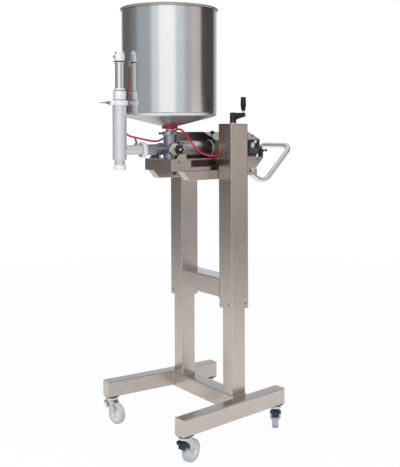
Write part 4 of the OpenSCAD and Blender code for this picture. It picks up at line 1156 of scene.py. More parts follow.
class DEPOSITOR_OT_bed(bpy.types.Operator):
    """Makes the pressed bed with its ears, the two arms that carry it, the bare nameplate
    and the air switch: bent sheets and rounded boxes carried along the machine"""
    bl_idname = "depositor.bed"
    bl_label = "Bed, arms and switch"

    def execute(self, context):
        self.bed()
        self.arms()
        self.nameplate()
        self.switch()
        return {"FINISHED"}

    def bed(self):
        """The sheet of the bed, closed in front, and the ears bolted on its sides."""
        bend = sizes().sheet_corner
        bed = Piece("bed_pressed")
        outline = bent_line([(-BED_HALF, BED_LOW), (-BED_HALF, BED_TOP), (BED_HALF, BED_TOP),
                             (BED_HALF, BED_LOW)], bend, closed=False)
        sheet_cover(bed, outline, bed_rear, lambda z: BED_FRONT + 0 * z, bend, -1)
        bed.build([frame_steel(ALONG_X, "bed_steel"), inner_steel()], "carriage", ["bed"],
                  wall=2.6)
        ears = Piece("bed_ears")
        ear = bent_line([(-262, 1298), (-262, 1306), (-244, 1328), (-205, 1328), (-205, 1298)],
                        [0, 2, 9, 5, 0], steps=6)
        for side, way in OUTWARDS.items():
            low = -116.9 if side == NEAR else 114.2
            ears.add(upright_plate(ear, low, low + 2.7, 0.6))
            head = sizes().screw_head
            for x, z, radius, height in ((-246, 1292, head, 2.2), (222, 1292, head, 2.2),
                                         (-29, 1259, 4.8, 2.4)):
                socket_screw(ears, (x, side * 116.9, z), way, radius, height, 1)
        ears.build([frame_steel(ALONG_X, "bed_steel"), dark_metal()], "carriage", ["bed"])

    def arms(self):
        """A box tube: rounded rectangles along X, inset at the ends. The front leans forward by
        37 mm, and the lower side is 11 mm higher at the rear, where the push handle leaves."""
        arms = Piece("carriage_arms_tube")
        middle, lean, lift = (ARM_LOW + ARM_HIGH) / 2, 37 / (ARM_HIGH - ARM_LOW), 11
        for side, way in OUTWARDS.items():
            face = side * (ARM_Y + ARM_WIDE / 2)
            outline = rectangle(ARM_WIDE, ARM_HIGH - ARM_LOW, sizes().tube_corner * 0.8, 5,
                                (side * ARM_Y, middle))
            lower = outline[:, 1] < middle
            rings = []
            for x, amount, slope, up in (
                    (-249, 3.2, lean, 0), (-249, 1.2, lean, 0), (-248.6, 0.4, lean, 0),
                    (-247.4, 0, lean, 0), (55.5, 0, 0, 0), (56.5, 0, 0, 0), (66.5, 0, 0, lift),
                    (67.5, 0, 0, lift), (185.2, 0, 0, lift), (186, 0.5, 0, lift),
                    (186, 3, 0, lift), (120, 3, 0, lift)):
                y, z = inset(outline, amount).T
                rings.append(np.c_[x + slope * (ARM_HIGH - z), y, z + up * lower])
            arms.add(rings)
            hexagon(arms, (144, face, 1240), way, 9.6, 4, 2)
            lathe(arms, [(0, 0), (6.6, 0), (6.6, 1.4), (4.6, 2.6), (0, 3.4)],
                  (157.5, face, 1243), way, 3, 0.5, 36)
            socket_screw(arms, (179, face, 1223), way, 3.2, 1.8, 2)
            lathe(arms, [(12.75, 0), (17, 0), (17, 4), (12.75, 4)], (122, side * 125, 1234), "+x",
                  1, 0.6, 48)
        arms.build([frame_steel(ALONG_X, "bed_steel"), chrome(), dark_metal(), pale_steel()],
                   "carriage", ["carriage_arms"])
        boss = Piece("arm_bosses")
        for side, way in INWARDS.items():
            lathe(boss, [(0, 0), (6, 0), (6, 4), (5, 5), (0, 5)], (-124, side * 105.2, 1226),
                  way, 0, 0.8, 36)
            hexagon(boss, (-124, side * 100.4, 1226), way, 7, 3)
        boss.build([dark_metal()], "carriage", slot="dark_metal")

    def nameplate(self):
        """A bare black plate with a printed border, held by four rivets."""
        low, high = (corner - (POST_X, 0, 0) for corner in node_range("nameplate"))
        name = Piece("nameplate_bare")
        outline = rectangle(high[0] - low[0], high[2] - low[2], 3, 4,
                            ((low[0] + high[0]) / 2, (low[2] + high[2]) / 2))
        name.add(upright_plate(outline, low[1], high[1], 0.5))
        for x in (low[0] + 5, high[0] - 5):
            for z in (low[2] + 5, high[2] - 5):
                lathe(name, [(0, 0), (1.9, 0), (1.5, 0.45), (0, 0.6)], (x, low[1] + 0.1, z),
                      "-y", 1, 0.2, 20)
        wide, _, tall = (high - low) * MM
        paint = printed("nameplate_print", ((low + high) / 2 + (POST_X, 0, 0)) * MM,
                        border_ink(float(wide), float(tall)))
        name.build([paint, chrome()], "carriage", ["nameplate"], "black_plastic")

    def switch(self):
        """The air switch: a moulded box with a cable gland's collar, and its lever."""
        box = Piece("air_switch_box")
        slab(box, (240.5, -115, 1305), (260, -95, 1331), 2.5)
        lathe(box, [(0, 0), (7, 0), (7, 8), (6.2, 9), (6.2, 14), (7, 15), (7, 22), (5, 24),
                    (0, 24)], (251.5, -105, 1331), "+z", 0, 0.8, 40)
        for y in (-111.5, -98.5):
            slab(box, (246, y - 1.5, 1327), (266, y + 1.5, 1343), 1.2, along="y")
        box.build([black_plastic()], "carriage", ["air_switch"], "black_plastic")
        lever, pivot = Piece("switch_lever_ball"), (264.8, -105, 1336)
        lathe(lever, [(0, -4.7), (4.5, -4.7), (4.5, 4.7), (0, 4.7)], pivot, "+y", 0, 0.6, 36)
        ball = polar(7, np.linspace(-1.2, math.pi / 2, 14))[:, :2] + (0, 20)
        lever.add(towards(turned([(0, 2), (2.5, 2), *ball], 32), pivot, "+x"))
        lever.build([black_plastic()], "switch_arm", ["switch_lever"], "black_plastic")


@kept_by_name
def printed(name, centre, ink):
    """Black paint in the X-Z plane. ink draws on it: it takes the finish, X and Z from
    centre in metres, and the paint's colour."""
    f = Finish(name, colours().panel, 0.3)
    place = f.place(tuple(float(c) for c in centre))
    dust = f.noise(180, 4, 0.6)
    paint = f.mix(dust.above(0.5, 0.4) * 0.25, colours().panel, (0.06, 0.055, 0.06))
    f.set("Base Color", ink(f, f.axis(place, 0), f.axis(place, 2), paint))
    f.set("Roughness", 0.28 + dust * 0.15)
    f.bump(f.noise(1500, 2), 0.00002)
    return f


def border_ink(wide, high):
    """A printed line a little inside the edge of a plate: edge = least distance to a side."""
    def ink(f, x, z, paint):
        edge = f.math("MINIMUM", wide / 2 - f.math("ABSOLUTE", x),
                      high / 2 - f.math("ABSOLUTE", z))
        return f.mix(edge.within(0.0022, 0.0040, 0.0003), paint, colours().border)
    return ink


# ----------------------------------------------------------- push handle

# Corners of the handle's far half, and the radius of the bend at each
HANDLE_CORNERS = ((80, 125, 1234), (152.33, 125, 1234), (254.54, 125, 1174.99),
                  (436.9, 125, 1357.35))
HANDLE_BENDS = (0, 46, 62, 50)


class DEPOSITOR_OT_push_handle(bpy.types.Operator):
    """Makes the push handle: a circle carried along one bent line, from inside one arm down,
    up at 45 degrees, across, and back into the other arm"""
    bl_idname = "depositor.push_handle"
    bl_label = "Push handle"

    def execute(self, context):
        half = np.array(HANDLE_CORNERS, float)
        line = np.concatenate([half * (1, -1, 1), half[::-1]])
        path = bent_line(line, HANDLE_BENDS + HANDLE_BENDS[::-1], closed=False, steps=18)
        handle = Piece("push_handle_tube")
        handle.add(carried(path, circle(sizes().handle_diameter / 2, 40), (-0.7, 0.05, 0.7)))
        handle.build([metal("handle_chrome", colours().chrome, 0.14, ALL_WAYS, 0.06, 0.000005,
                            500)], "carriage", ["push_handle"], "chrome")
        return {"FINISHED"}


# ------------------------------------------------------- lift screw, crank

# The crank's direction from +X, its radius and its height, and the screw's thread
CRANK_TURN = math.radians(-72)
CRANK_R, CRANK_Z = 58, 1472
SCREW_LOW, SCREW_HIGH, PITCH = 930, 1446, 10


class DEPOSITOR_OT_crank(bpy.types.Operator):
    """Makes the crank on the lift screw: a turned hub with a set screw, a tapering arm with
    a round end, its pin, and the grip's turned profile"""
    bl_idname = "depositor.crank"
    bl_label = "Lift crank"

    def execute(self, context):
        turn = spun(CRANK_TURN)
        hub_place = (0, -POST_Y, CRANK_Z)
        pin_place = stood([(CRANK_R, 0, 0)], hub_place, *turn)[0]
        arm = Piece("crank_arm_forged")
        lathe(arm, [(10.05, 0), (15, 0), (15, 45), (12, 48), (0, 48), (0, 4), (10.05, 4)],
              hub_place, "+z", 0, 1.2, 56)
        t = np.linspace(0, 1, 12)[:, None]
        along = t * CRANK_R
        low, high = 9 + 18 * t ** 0.9, 47.6 - 0.6 * t
        width = 8.0 - 0.6 * np.sin(math.pi * t)
        flat = rectangle(2, 2, 0.5, 4)
        rings = np.stack(np.broadcast_arrays(
            along, width * flat[:, 0], (low + high) / 2 + (high - low) / 2 * flat[:, 1]), -1)
        arm.add(stood(rings, hub_place, *turn))
        lathe(arm, [(0, 27), (10, 27), (10, 47), (0, 47)], pin_place, "+z", 0, 1.6, 48)
        lathe(arm, [(0, 44), (5, 44), (5, 112), (4, 114), (0, 114)], pin_place, "+z", 1, 0.5, 32)
        lathe(arm, [(0, 47.9), (7, 47.9), (6.2, 50), (0, 50.4)], hub_place, "+z", 1, 0.6, 40)
        way = -np.array(turn[0])
        spot = np.array(hub_place) + way * 14.6 + (0, 0, 12)
        socket_screw(arm, spot, way, 3.2, 1.2, 1)
        arm.build([dark_metal(), chrome()], "crank", ["crank_arm"], "dark_metal")
        grip = Piece("crank_grip_turned")
        profile = [(5.05, 55), (8.6, 55), (10.9, 66.7), (13, 84.2), (12.2, 107), (12.2, 116),
                   (10.4, 120), (0, 120), (0, 115.05), (5.05, 115.05)]
        lathe(grip, profile, pin_place, "+z", 0, [0.4, 1.5, 12, 20, 8, 2, 2.5, 0, 0, 0.2], 64)
        grip.build([metal("grip_lacquer", (0.05, 0.05, 0.055), 0.16, ALL_WAYS, 0.08, 0.00001,
                          500, 30)], "grip", ["crank_grip"], "black_plastic")
        return {"FINISHED"}


# ---------------------------------------------------------- drive housing

ROOF, EAVE, SHOULDER = 1430, 1393, -10
COVER_HALF, COVER_FRONT, COVER_REAR = 105, -30, 248
HOSE_X, HOSE_Z = 60, 1342
GAUGE_X, GAUGE_Y, GAUGE_Z = 194, -107, 1363
# Middle of the panel's print
PRINT_X, PRINT_Z = 170, 1350


def cover_rear(z):
    """X of the housing's rear face: upright above the eave, then leaning forward twice."""
    return np.interp(z, (BED_TOP, 1333, EAVE), (222, 240, COVER_REAR))


class DEPOSITOR_OT_drive_housing(bpy.types.Operator):
    """Makes the open-fronted drive housing with its far wall, panel, gauge, lock knob and
    hose elbow: a bent outline carried along X, its rear face shrunk to a point below"""
    bl_idname = "depositor.drive_housing"
    bl_label = "Drive housing"

    def execute(self, context):
        bend = sizes().sheet_corner
        cover = Piece("drive_cover_bent")
        outline = bent_line([(-COVER_HALF, BED_TOP), (-COVER_HALF, EAVE), (SHOULDER, ROOF),
                             (COVER_HALF, ROOF), (COVER_HALF, BED_TOP)],
                            [0, bend + 2, bend + 4, bend, 0], closed=False, steps=6)
        sheet_cover(cover, cut_up(outline, 20, 8), lambda z: COVER_FRONT + 0 * z, cover_rear,
                    3.0, 1)
        cover.build([frame_steel(ALONG_X, "housing_steel"), inner_steel()], "carriage",
                    ["drive_cover"], wall=1.8)
        self.far_wall()
        self.panel()
        self.knob()
        return {"FINISHED"}

    def far_wall(self):
        """The far wall's forward end, the fitting of the hose, and the cover's screws."""
        wall = Piece("drive_cover_wall")
        outline = bent_line([(-150, BED_TOP), (-28, BED_TOP), (-28, ROOF), (-150, ROOF)],
                            [0.5, 0, 0, 6], steps=5)
        wall.add(upright_plate(outline, COVER_HALF - 2.0, COVER_HALF - 0.1, 0.5), 3)
        lathe(wall, [(0, -1), (9.6, -1), (9.6, 3), (7, 3.4), (7, 21), (5.4, 22), (0, 22)],
              (HOSE_X, -COVER_HALF, HOSE_Z), "-y", 1, 0.5, 40)
        hexagon(wall, (HOSE_X, -COVER_HALF - 1, HOSE_Z), "-y", 17, 5, 1)
        lathe(wall, [(0, 0), (6.5, 0), (6.5, 13), (5.9, 13.6), (5.9, 17), (6.4, 17.6),
                     (6.4, 20), (4.6, 20.2), (4.6, 16), (0, 16)], (HOSE_X, -120.4, HOSE_Z),
              "-x", 1, 0.4, 40)
        for x in (-20, 236):
            socket_screw(wall, (x, -60, 1410.6), (0, -0.363, 0.932), sizes().screw_head,
                         2.4, 2)
        wall.build([frame_steel(ALONG_X, "housing_steel"), chrome(), dark_metal(),
                    inner_steel()], "carriage", ["drive_cover"])

    def panel(self):
        """The control panel and its gauge: ring, glass and a dial with plain ticks."""
        panel = Piece("control_panel_plate")
        outline = bent_line([(96, 1309), (222, 1309), (239, 1334), (245, 1391), (96, 1391)], 3,
                            steps=4)
        panel.add(upright_plate(outline, GAUGE_Y, -COVER_HALF, 0.6))
        for x, z in ((101, 1314), (101, 1386), (239, 1386), (220, 1314)):
            lathe(panel, [(0, 0), (2.4, 0), (2, 0.7), (0, 1)], (x, -106.9, z), "-y", 1, 0.3, 20)
        centre = ((POST_X + PRINT_X) * MM, GAUGE_Y * MM, PRINT_Z * MM)
        paint = printed("panel_print", centre, panel_ink)
        panel.build([paint, chrome()], "carriage", ["control_panel"], "black_plastic")
        gauge, place = Piece("pressure_gauge"), ((GAUGE_X, GAUGE_Y, GAUGE_Z), "-y")
        lathe(gauge, [(10.8, 0), (13, 0), (13, 6), (12, 7), (11.2, 7), (10.8, 5.4)], *place, 0,
              0.5, 64)
        lathe(gauge, [(0, 0), (11, 0), (11, 3.2), (0, 3.2)], *place, 1, 0.2, 48)
        needle = plate(bent_line([(-0.8, -2.4), (0.8, -2.4), (0.25, 8.4), (-0.25, 8.4)], 0.1,
                                 steps=2), 3.3, 3.7)
        gauge.add(towards(stood(needle, (0, 0, 0), *spun(math.radians(215))), *place), 2)
        lathe(gauge, [(0, 3.2), (1.8, 3.2), (1.5, 4.4), (0, 4.6)], *place, 2, 0.2, 20)
        gauge.build([chrome(), dial_face("dial_face"), black_plastic()], "carriage",
                    ["control_panel"], "chrome")

    def knob(self):
        """A fluted lock knob on the sloping shoulder: its outline is r + d cos(12 t)."""
        lean = math.atan(37 / 95)
        spot = (-15, -55, 1412.6)
        axis = (0, -math.sin(lean), math.cos(lean))
        knob = Piece("cover_knob_fluted")
        knob.add(towards(plate(lobed(9.6, 0.4, 12), 8, 22, 1.6), spot, axis))
        lathe(knob, [(0, 0.4), (4, 0.4), (4, 9), (0, 9)], spot, axis, 1, 0.4, 24)
        lathe(knob, [(0, 21.5), (6, 21.9), (5.4, 22.3), (0, 22.4)], spot, axis, 0, 0.2, 32)
        knob.build([black_plastic(), chrome()], "housing_knob", ["cover_knob"],
                   "black_plastic")


def panel_ink(f, x, z, paint):
    """The panel's print: a border line, one plain pale square and grey bars."""
    def patch(x0, x1, z0, z1):
        return x.within((x0 - PRINT_X) * MM, (x1 - PRINT_X) * MM, 0.0004) * z.within(
            (z0 - PRINT_Z) * MM, (z1 - PRINT_Z) * MM, 0.0004)
    border = patch(98.5, 241, 1311.5, 1388.5) * (1 - patch(100.8, 238.5, 1313.8, 1386.2))
    bars = f.math("FRACT", z * 140.0).above(0.5, 0.05) * patch(178, 230, 1322, 1349)
    paint = f.mix(bars * 0.5, paint, (0.30, 0.29, 0.29))
    paint = f.mix(patch(207, 223, 1373, 1386), paint, (0.75, 0.74, 0.74))
    return f.mix(border, paint, colours().border)


@kept_by_name
def dial_face(name):
    """A white dial with plain ticks: dark where the angle round the middle is near a step."""
    f = Finish(name, (0.8, 0.8, 0.79), 0.35, coat_weight=1.0, coat_roughness=0.05)
    place = f.place(((POST_X + GAUGE_X) * MM, (GAUGE_Y - 3) * MM, GAUGE_Z * MM))
    x, z = f.axis(place, 0), f.axis(place, 2)
    angle = f.math("ARCTAN2", z, x)
    reach = (x * x + z * z) ** 0.5
    step = f.math("FRACT", angle * (24 / (2 * math.pi)) + 0.5)
    ticks = step.within(0.42, 0.58, 0.03) * reach.within(0.0078, 0.0098, 0.0003)
    lower = z.above(-0.0068, 0.0006)
    f.set("Base Color", f.mix(ticks * lower, f.mix(f.noise(300, 2), (0.8, 0.8, 0.79),
                                                   (0.74, 0.74, 0.73)), (0.02, 0.02, 0.02)))
    return f


# --------------------------------------------- product cylinder and valve

def seam_of_pipes(radius, big, x, side):
    """The line where a pipe along X meets an upright tube at x: (x + side sqrt(R^2 - y^2), y,
    z) with y = r cos t and z = r sin t from the axis."""
    t = np.linspace(0, 2 * math.pi, 60)
    y, z = radius * np.cos(t), radius * np.sin(t)
    return np.c_[x + side * np.sqrt(big ** 2 - y ** 2), y, z + AXIS_Z]


class DEPOSITOR_OT_product_cylinder(bpy.types.Operator):
    """Makes the product cylinder with its flange ring, and the rotary valve with its spout,
    plug, lock knob and actuator: turned profiles along three axes"""
    bl_idname = "depositor.product_cylinder"
    bl_label = "Product cylinder and valve"

    def execute(self, context):
        tube = Piece("product_cylinder_tube")
        wall = [(35.05, 0), (38, 0), (38, 186), (40.6, 187.6), (42, 188.4), (42, 194.4),
                (40.6, 195.2), (38, 196), (38, 199), (35.05, 199)]
        ring = [(38, 0.2), (39.2, 0.6), (39.2, 3.4), (38, 4)]
        flange = [(41.8, 187.6), (43.4, 188.4), (43.4, 194.4), (41.8, 195.2)]
        for coat, (profile, radius) in enumerate(((wall, 0.6), (ring, 0.5), (flange, 0.6))):
            lathe(tube, profile, CYLINDER_END, "+x", coat, radius, 96)
        # The flange ring's whitish steel is partly a painted highlight of the bright ring round
        # it
        tube.build([bright_steel(ALONG_X, "cylinder_steel", 0.34), cast_metal(),
                    pale_steel("flange_steel", 0.26)], "carriage",
                   ["product_cylinder"], "bright_steel")
        self.valve()
        self.plug()
        return {"FINISHED"}

    def valve(self):
        """Upright tube, cross barrel, stub and spout, with weld seams where they meet."""
        valve = Piece("valve_body_welded")
        lathe(valve, [(0, 0), (31.5, 0), (31.5, 3), (30, 4.5), (30, 112), (31, 112.8),
                      (32, 114), (32, 118), (17, 118), (17, 60), (0, 60)],
              (VALVE_X, 0, BED_TOP), "+z", 0, 0.6, 80)
        pipe(valve, 30, 26.05, (VALVE_X, -38, AXIS_Z), (VALVE_X, 38, AXIS_Z), 1.2, 72)
        rod(valve, 38, VALVE, CYLINDER_END, 0, 1.0, 80)
        pipe(valve, 25, 17, SPOUT_END, VALVE, 0.6, 72)
        lathe(valve, [(17, 0), (31.2, 0), (32, 0.8), (32, 2.6), (27, 5), (25, 6.5), (17, 6.5)],
              SPOUT_END, "+x", 0, 0.5, 72)
        weld(valve, seam_of_pipes(25, 30, VALVE_X, -1), (0, 0.3, 1), 1.5)
        valve.build([metal("valve_steel", (0.46, 0.48, 0.52), 0.3, ALL_WAYS, 0.1,
                           0.00002, 1200, 30)], "carriage", ["valve_body"], "cast_metal")

    def plug(self):
        """The rotary plug with its stem, the lobed lock knob, and the actuator behind."""
        plug = Piece("valve_plug_turned")
        for radius, start, end, coat, edge, count in (
                (25.9, -42, 40, 0, 1.0, 64), (27, -46, -42, 2, 1.2, 64),
                (6, -90, -46, 0, 0.8, 32), (7, 40, 58, 0, 0.8, 32)):
            rod(plug, radius, (VALVE_X, start, AXIS_Z), (VALVE_X, end, AXIS_Z), coat, edge,
                count)
        lathe(plug, [(0, 0), (11, 0), (11, 1.6), (8, 2.2), (0, 2.2)], (VALVE_X, -63, AXIS_Z),
              "-y", 1, 0.3, 40)
        plug.build([bright_steel(ALL_WAYS, "turned_steel", 0.22), bronze(), metal(
            "plug_face", (0.95, 0.9, 0.8), 0.34, ALL_WAYS, 0.1, 0.00001, 900, 30, 0.3)], "plug",
                  ["valve_plug"], "bright_steel")
        knob = Piece("valve_knob_lobed")
        knob.add(towards(plate(lobed(20.6, 2.2, 6), 70, 88, 3.0, 5), VALVE, "-y"))
        lathe(knob, [(6.05, 66), (12, 66), (12, 71), (6.05, 71)], VALVE, "-y", 1, 0.6, 40)
        knob.build([black_plastic(), bronze()], "plug_knob", ["valve_knob"], "black_plastic")
        drive = Piece("valve_actuator_air")
        lathe(drive, [(7.05, 0), (29, 0), (29, 10), (27.6, 11), (27.6, 37), (29, 38), (29, 48),
                      (0, 48), (0, 20), (7.05, 20)], (VALVE_X, 40.3, AXIS_Z), "+y", 0, 0.8, 72)
        for x in (-20, 0, 20):
            rod(drive, 4, (VALVE_X + x, 54.3, BED_TOP), (VALVE_X + x, 54.3, AXIS_Z - 18), 1, 0.4,
                24)
        for a in np.radians((45, 135, 225, 315)):
            socket_screw(drive, (VALVE_X + 21 * math.cos(a), 88.0, AXIS_Z + 21 * math.sin(a)),
                         "+y", 3, 0.3, 1)
        drive.build([dark_metal(), chrome()], "carriage", ["valve_actuator"], "dark_metal")


# ---------------------------------------------------------------- hopper

class DEPOSITOR_OT_hopper(bpy.types.Operator):
    """Makes the hopper: one closed profile of wall, cone and rolled rim turned round the
    upright axis, with its neck, and the red gasket rings under it"""
    bl_idname = "depositor.hopper"
    bl_label = "Hopper"

    def execute(self, context):
        r, top = sizes().hopper_radius, sizes().hopper_top
        outlet, foot, corner, cone = 1457, 33, 14, 1505
        slope = (cone - outlet) / (r - foot)
        outside = [(17, outlet), (foot, outlet), (r - 2, cone - 2 * slope), (r, top - 4.6)]
        inside = [(r - 2, top - 4.6), (r - 4, cone + 2 - 4 * slope), (foot, outlet + 4),
                  (17, outlet + 4)]
        outer = bent_line(outside, [0, 3, corner * 1.5, 0], closed=False, steps=10)
        inner = bent_line(inside, [0, corner * 1.4, 3, 0], closed=False, steps=10)
        bead = polar(5, np.radians(np.linspace(-113, 160, 22)))[:, :2] + (r + 2, top)
        profile = np.concatenate([cut_up(outer, 200, 13), bead, inner])
        hopper = Piece("hopper_spun")
        hopper.add(turned(profile, 192) + (VALVE_X, 0, 0), loop=True)
        lathe(hopper, [(17, 1425), (31.4, 1425), (32, 1425.8), (32, 1427.4), (26, 1430),
                       (20.6, 1431), (20, 1433), (20, 1455), (22, 1457.2), (17, 1457.2)],
              (VALVE_X, 0, 0), "+z", 1, 0.6, 80)
        hopper.build([hopper_steel("hopper_steel"), cast_metal()], "carriage", ["hopper"],
                     "bright_steel")
        gasket = Piece("hopper_gasket_rings")
        lathe(gasket, [(20.02, 1445), (36, 1445), (37, 1446), (37, 1456), (36, 1457),
                       (20.02, 1457)], (VALVE_X, 0, 0), "+z", 0, 0.8, 80)
        lathe(gasket, [(17, 1423), (32, 1423), (32, 1425), (17, 1425)], (VALVE_X, 0, 0), "+z", 0,
              0.3, 64)
        gasket.build([red_rubber()], "carriage", ["hopper_gasket"], "red_rubber")
        return {"FINISHED"}


@kept_by_name
def hopper_steel(name):
    """Polished sheet, brushed round the axis: noise stretched round it by reading the
    height and the radius alone, with a few faint rings and hand marks."""
    base = colours().bright
    f = Finish(name, base, 0.16, 1.0)
    place = f.place(((POST_X + VALVE_X) * MM, 0, 1.5))
    x, y, z = (f.axis(place, i) for i in range(3))
    reach = (x * x + y * y) ** 0.5
    drawn = f.node("ShaderNodeCombineXYZ", {}, {"X": reach, "Y": 0.0, "Z": z})
    rings = f.noise(1500, 2, 0.5, drawn)
    wide = f.noise(90, 2, 0.5, drawn)
    clouds = f.noise(5, 4, 0.6)
    cone = 1 - z.above(0.0, 0.02)
    brushed = f.mix(clouds.above(0.35, 0.4) * 0.4 + rings * 0.6, tint(base, 0.92),
                    tint(base, 1.06))
    brushed = f.mix(cone, brushed, tint(base, 0.9))
    f.set("Base Color", f.mix(z.above(0.494, 0.002), brushed, (0.52, 0.48, 0.45)))
    f.set("Roughness", 0.155 + (rings - 0.5) * 0.08 + (wide - 0.5) * 0.05
          + (clouds - 0.5) * 0.05 + cone * 0.2)
    f.bump(rings * 0.7 + wide * 0.3, 0.000008)
    return f


# ---------------------------------------------------------------- clamps

def axes_of(origin, x, z):
    """Origin and axes of a clamp: X along its bolt, Z along the pipe."""
    return (origin, x, np.cross(z, x), z)


NOZZLE_X = -490
CLAMP_WALL, LUG_REACH = 5, 12
HOPPER_BOLT, SPOUT_BOLT = math.radians(-104), math.radians(115)

# Each clamp's axes, its inner and rim diameter, its thickness, its wing nut's reach and body
CLAMPS = {
    "hopper": (axes_of((VALVE_X, 0, 1424), (math.cos(HOPPER_BOLT), math.sin(HOPPER_BOLT), 0),
                       (0, 0, 1)), 62, 64, 18, 76, "hopper_nut"),
    "spout": (axes_of(SPOUT_END, (0, math.sin(SPOUT_BOLT), -math.cos(SPOUT_BOLT)), (1, 0, 0)),
              51, 64, 17, 86, "spout_nut"),
    "nozzle": (axes_of((NOZZLE_X, 0, 1563), (-1, 0, 0), (0, 0, 1)), 64.5, 68.5, 21.4, 92,
               "nozzle_nut"),
}


class DEPOSITOR_OT_clamps(bpy.types.Operator):
    """Makes the three hinged pipe clamps with their bolts and wing nuts: a channel profile
    turned in two halves, cast lugs, a hinge, and wings of tapering thickness"""
    bl_idname = "depositor.clamps"
    bl_label = "Clamps and wing nuts"

    def execute(self, context):
        for name, (axes, inner, rim, thick, reach, body) in CLAMPS.items():
            self.clamp(name, axes, inner / 2, rim / 2, thick)
            self.wing(name, axes, rim / 2, reach, body)
        return {"FINISHED"}

    def clamp(self, name, axes, inner, rim, thick):
        """Two half rings of one profile, joined by a hinge at the back and bolt lugs."""
        clamp = Piece(f"{name}_clamp_cast", axes)
        outer, h = rim + CLAMP_WALL, thick / 2
        groove = min(5.2, h - 2.2)
        profile = bent_line([(inner, -h), (outer - 1.6, -h), (outer, -h + 2.4),
                             (outer, h - 2.4), (outer - 1.6, h), (inner, h), (rim - 1, groove),
                             (rim + 0.4, groove - 0.6), (rim + 0.4, 0.6 - groove),
                             (rim - 1, -groove)], 0.8, steps=3)
        for start, stop in ((5, 172), (188, 355)):
            t = np.radians(np.linspace(start, stop, 44))[:, None]
            clamp.add(polar(profile[:, 0], t, profile[:, 1]))
        for way in (-1, 1):
            lug = bent_line([(outer - 5, way * 2.6), (outer + LUG_REACH, way * 2.6),
                             (outer + LUG_REACH, way * 7), (outer + 5, way * 9),
                             (outer - 5, way * 12)], [0.5, 1.5, 3, 4, 1], steps=4)
            clamp.add(plate(lug, -h, h, 1.6))
        knuckle = bent_line([(-outer - 3.9, -6), (-outer + 3, -8), (-outer + 3, 8),
                             (-outer - 3.9, 6)], [3.4, 1, 1, 3.4], steps=5)
        clamp.add(plate(knuckle, -h * 0.9, h * 0.9, 1.0))
        clamp.add(plate(circle(2.2, 20), -h, h, 0.6) + (-outer + 0.4, 0, 0), 1)
        clamp.add(plate(circle(3, 28), outer - 3, outer + 34, 0.8)[..., [2, 0, 1]], 1)
        if name == "hopper":
            ball = polar(6, np.linspace(-math.pi / 2, math.pi / 2, 20))[:, :2] + (0, outer + 12)
            clamp.add(upright_plate(circle(3, 24), outer - 2, outer + 8, 0.4) * (1, -1, 1), 2)
            clamp.add(turned(ball, 36)[..., [0, 2, 1]] * (1, -1, 1), 2)
        # The spout and nozzle clamps are whitish steel: partly painted reflection of the white
        # surroundings
        skin = cast_metal() if name == "hopper" else pale_steel("clamp_steel", 0.36)
        clamp.build([skin, chrome(), black_plastic()], "carriage", [f"{name}_clamp"],
                    "cast_metal")

    def wing(self, name, axes, rim, reach, body):
        """A wing nut: a short tapering barrel, and two wings whose thickness falls from
        root to tip as 5 (1 - 0.3 s)."""
        base = rim + CLAMP_WALL + LUG_REACH + 0.3
        nut = Piece(f"{name}_wing_nut", axes)
        barrel = bent_line([(3.05, base), (6.9, base), (6.9, base + 5), (5.8, base + 16),
                            (3.05, base + 16)], 0.6, steps=3)
        nut.add(turned(barrel, 40)[..., [2, 0, 1]], loop=True)
        for side in (-1, 1):
            wing = bent_line([(base + 3, side * 4.6), (base + 14, side * 4.6),
                              (reach - 1, side * 14), (reach - 0.5, side * 20),
                              (reach - 6, side * 21), (base + 12, side * 17)],
                             [2, 2, 4, 3.4, 4, 6], steps=5)
            rings = plate(wing, -2.5, 2.5, 1.6)
            rings[..., 2] *= 1 - 0.3 * np.clip((np.abs(rings[..., 1]) - 4) / 17, 0, 1)
            nut.add(rings)
        nut.build([metal("wing_metal", (0.33, 0.34, 0.36), 0.38, ALL_WAYS, 0.1, 0.00003, 1200,
                         30)], body, [f"{name}_wing"], "cast_metal")


# ---------------------------------------------------------------- nozzle

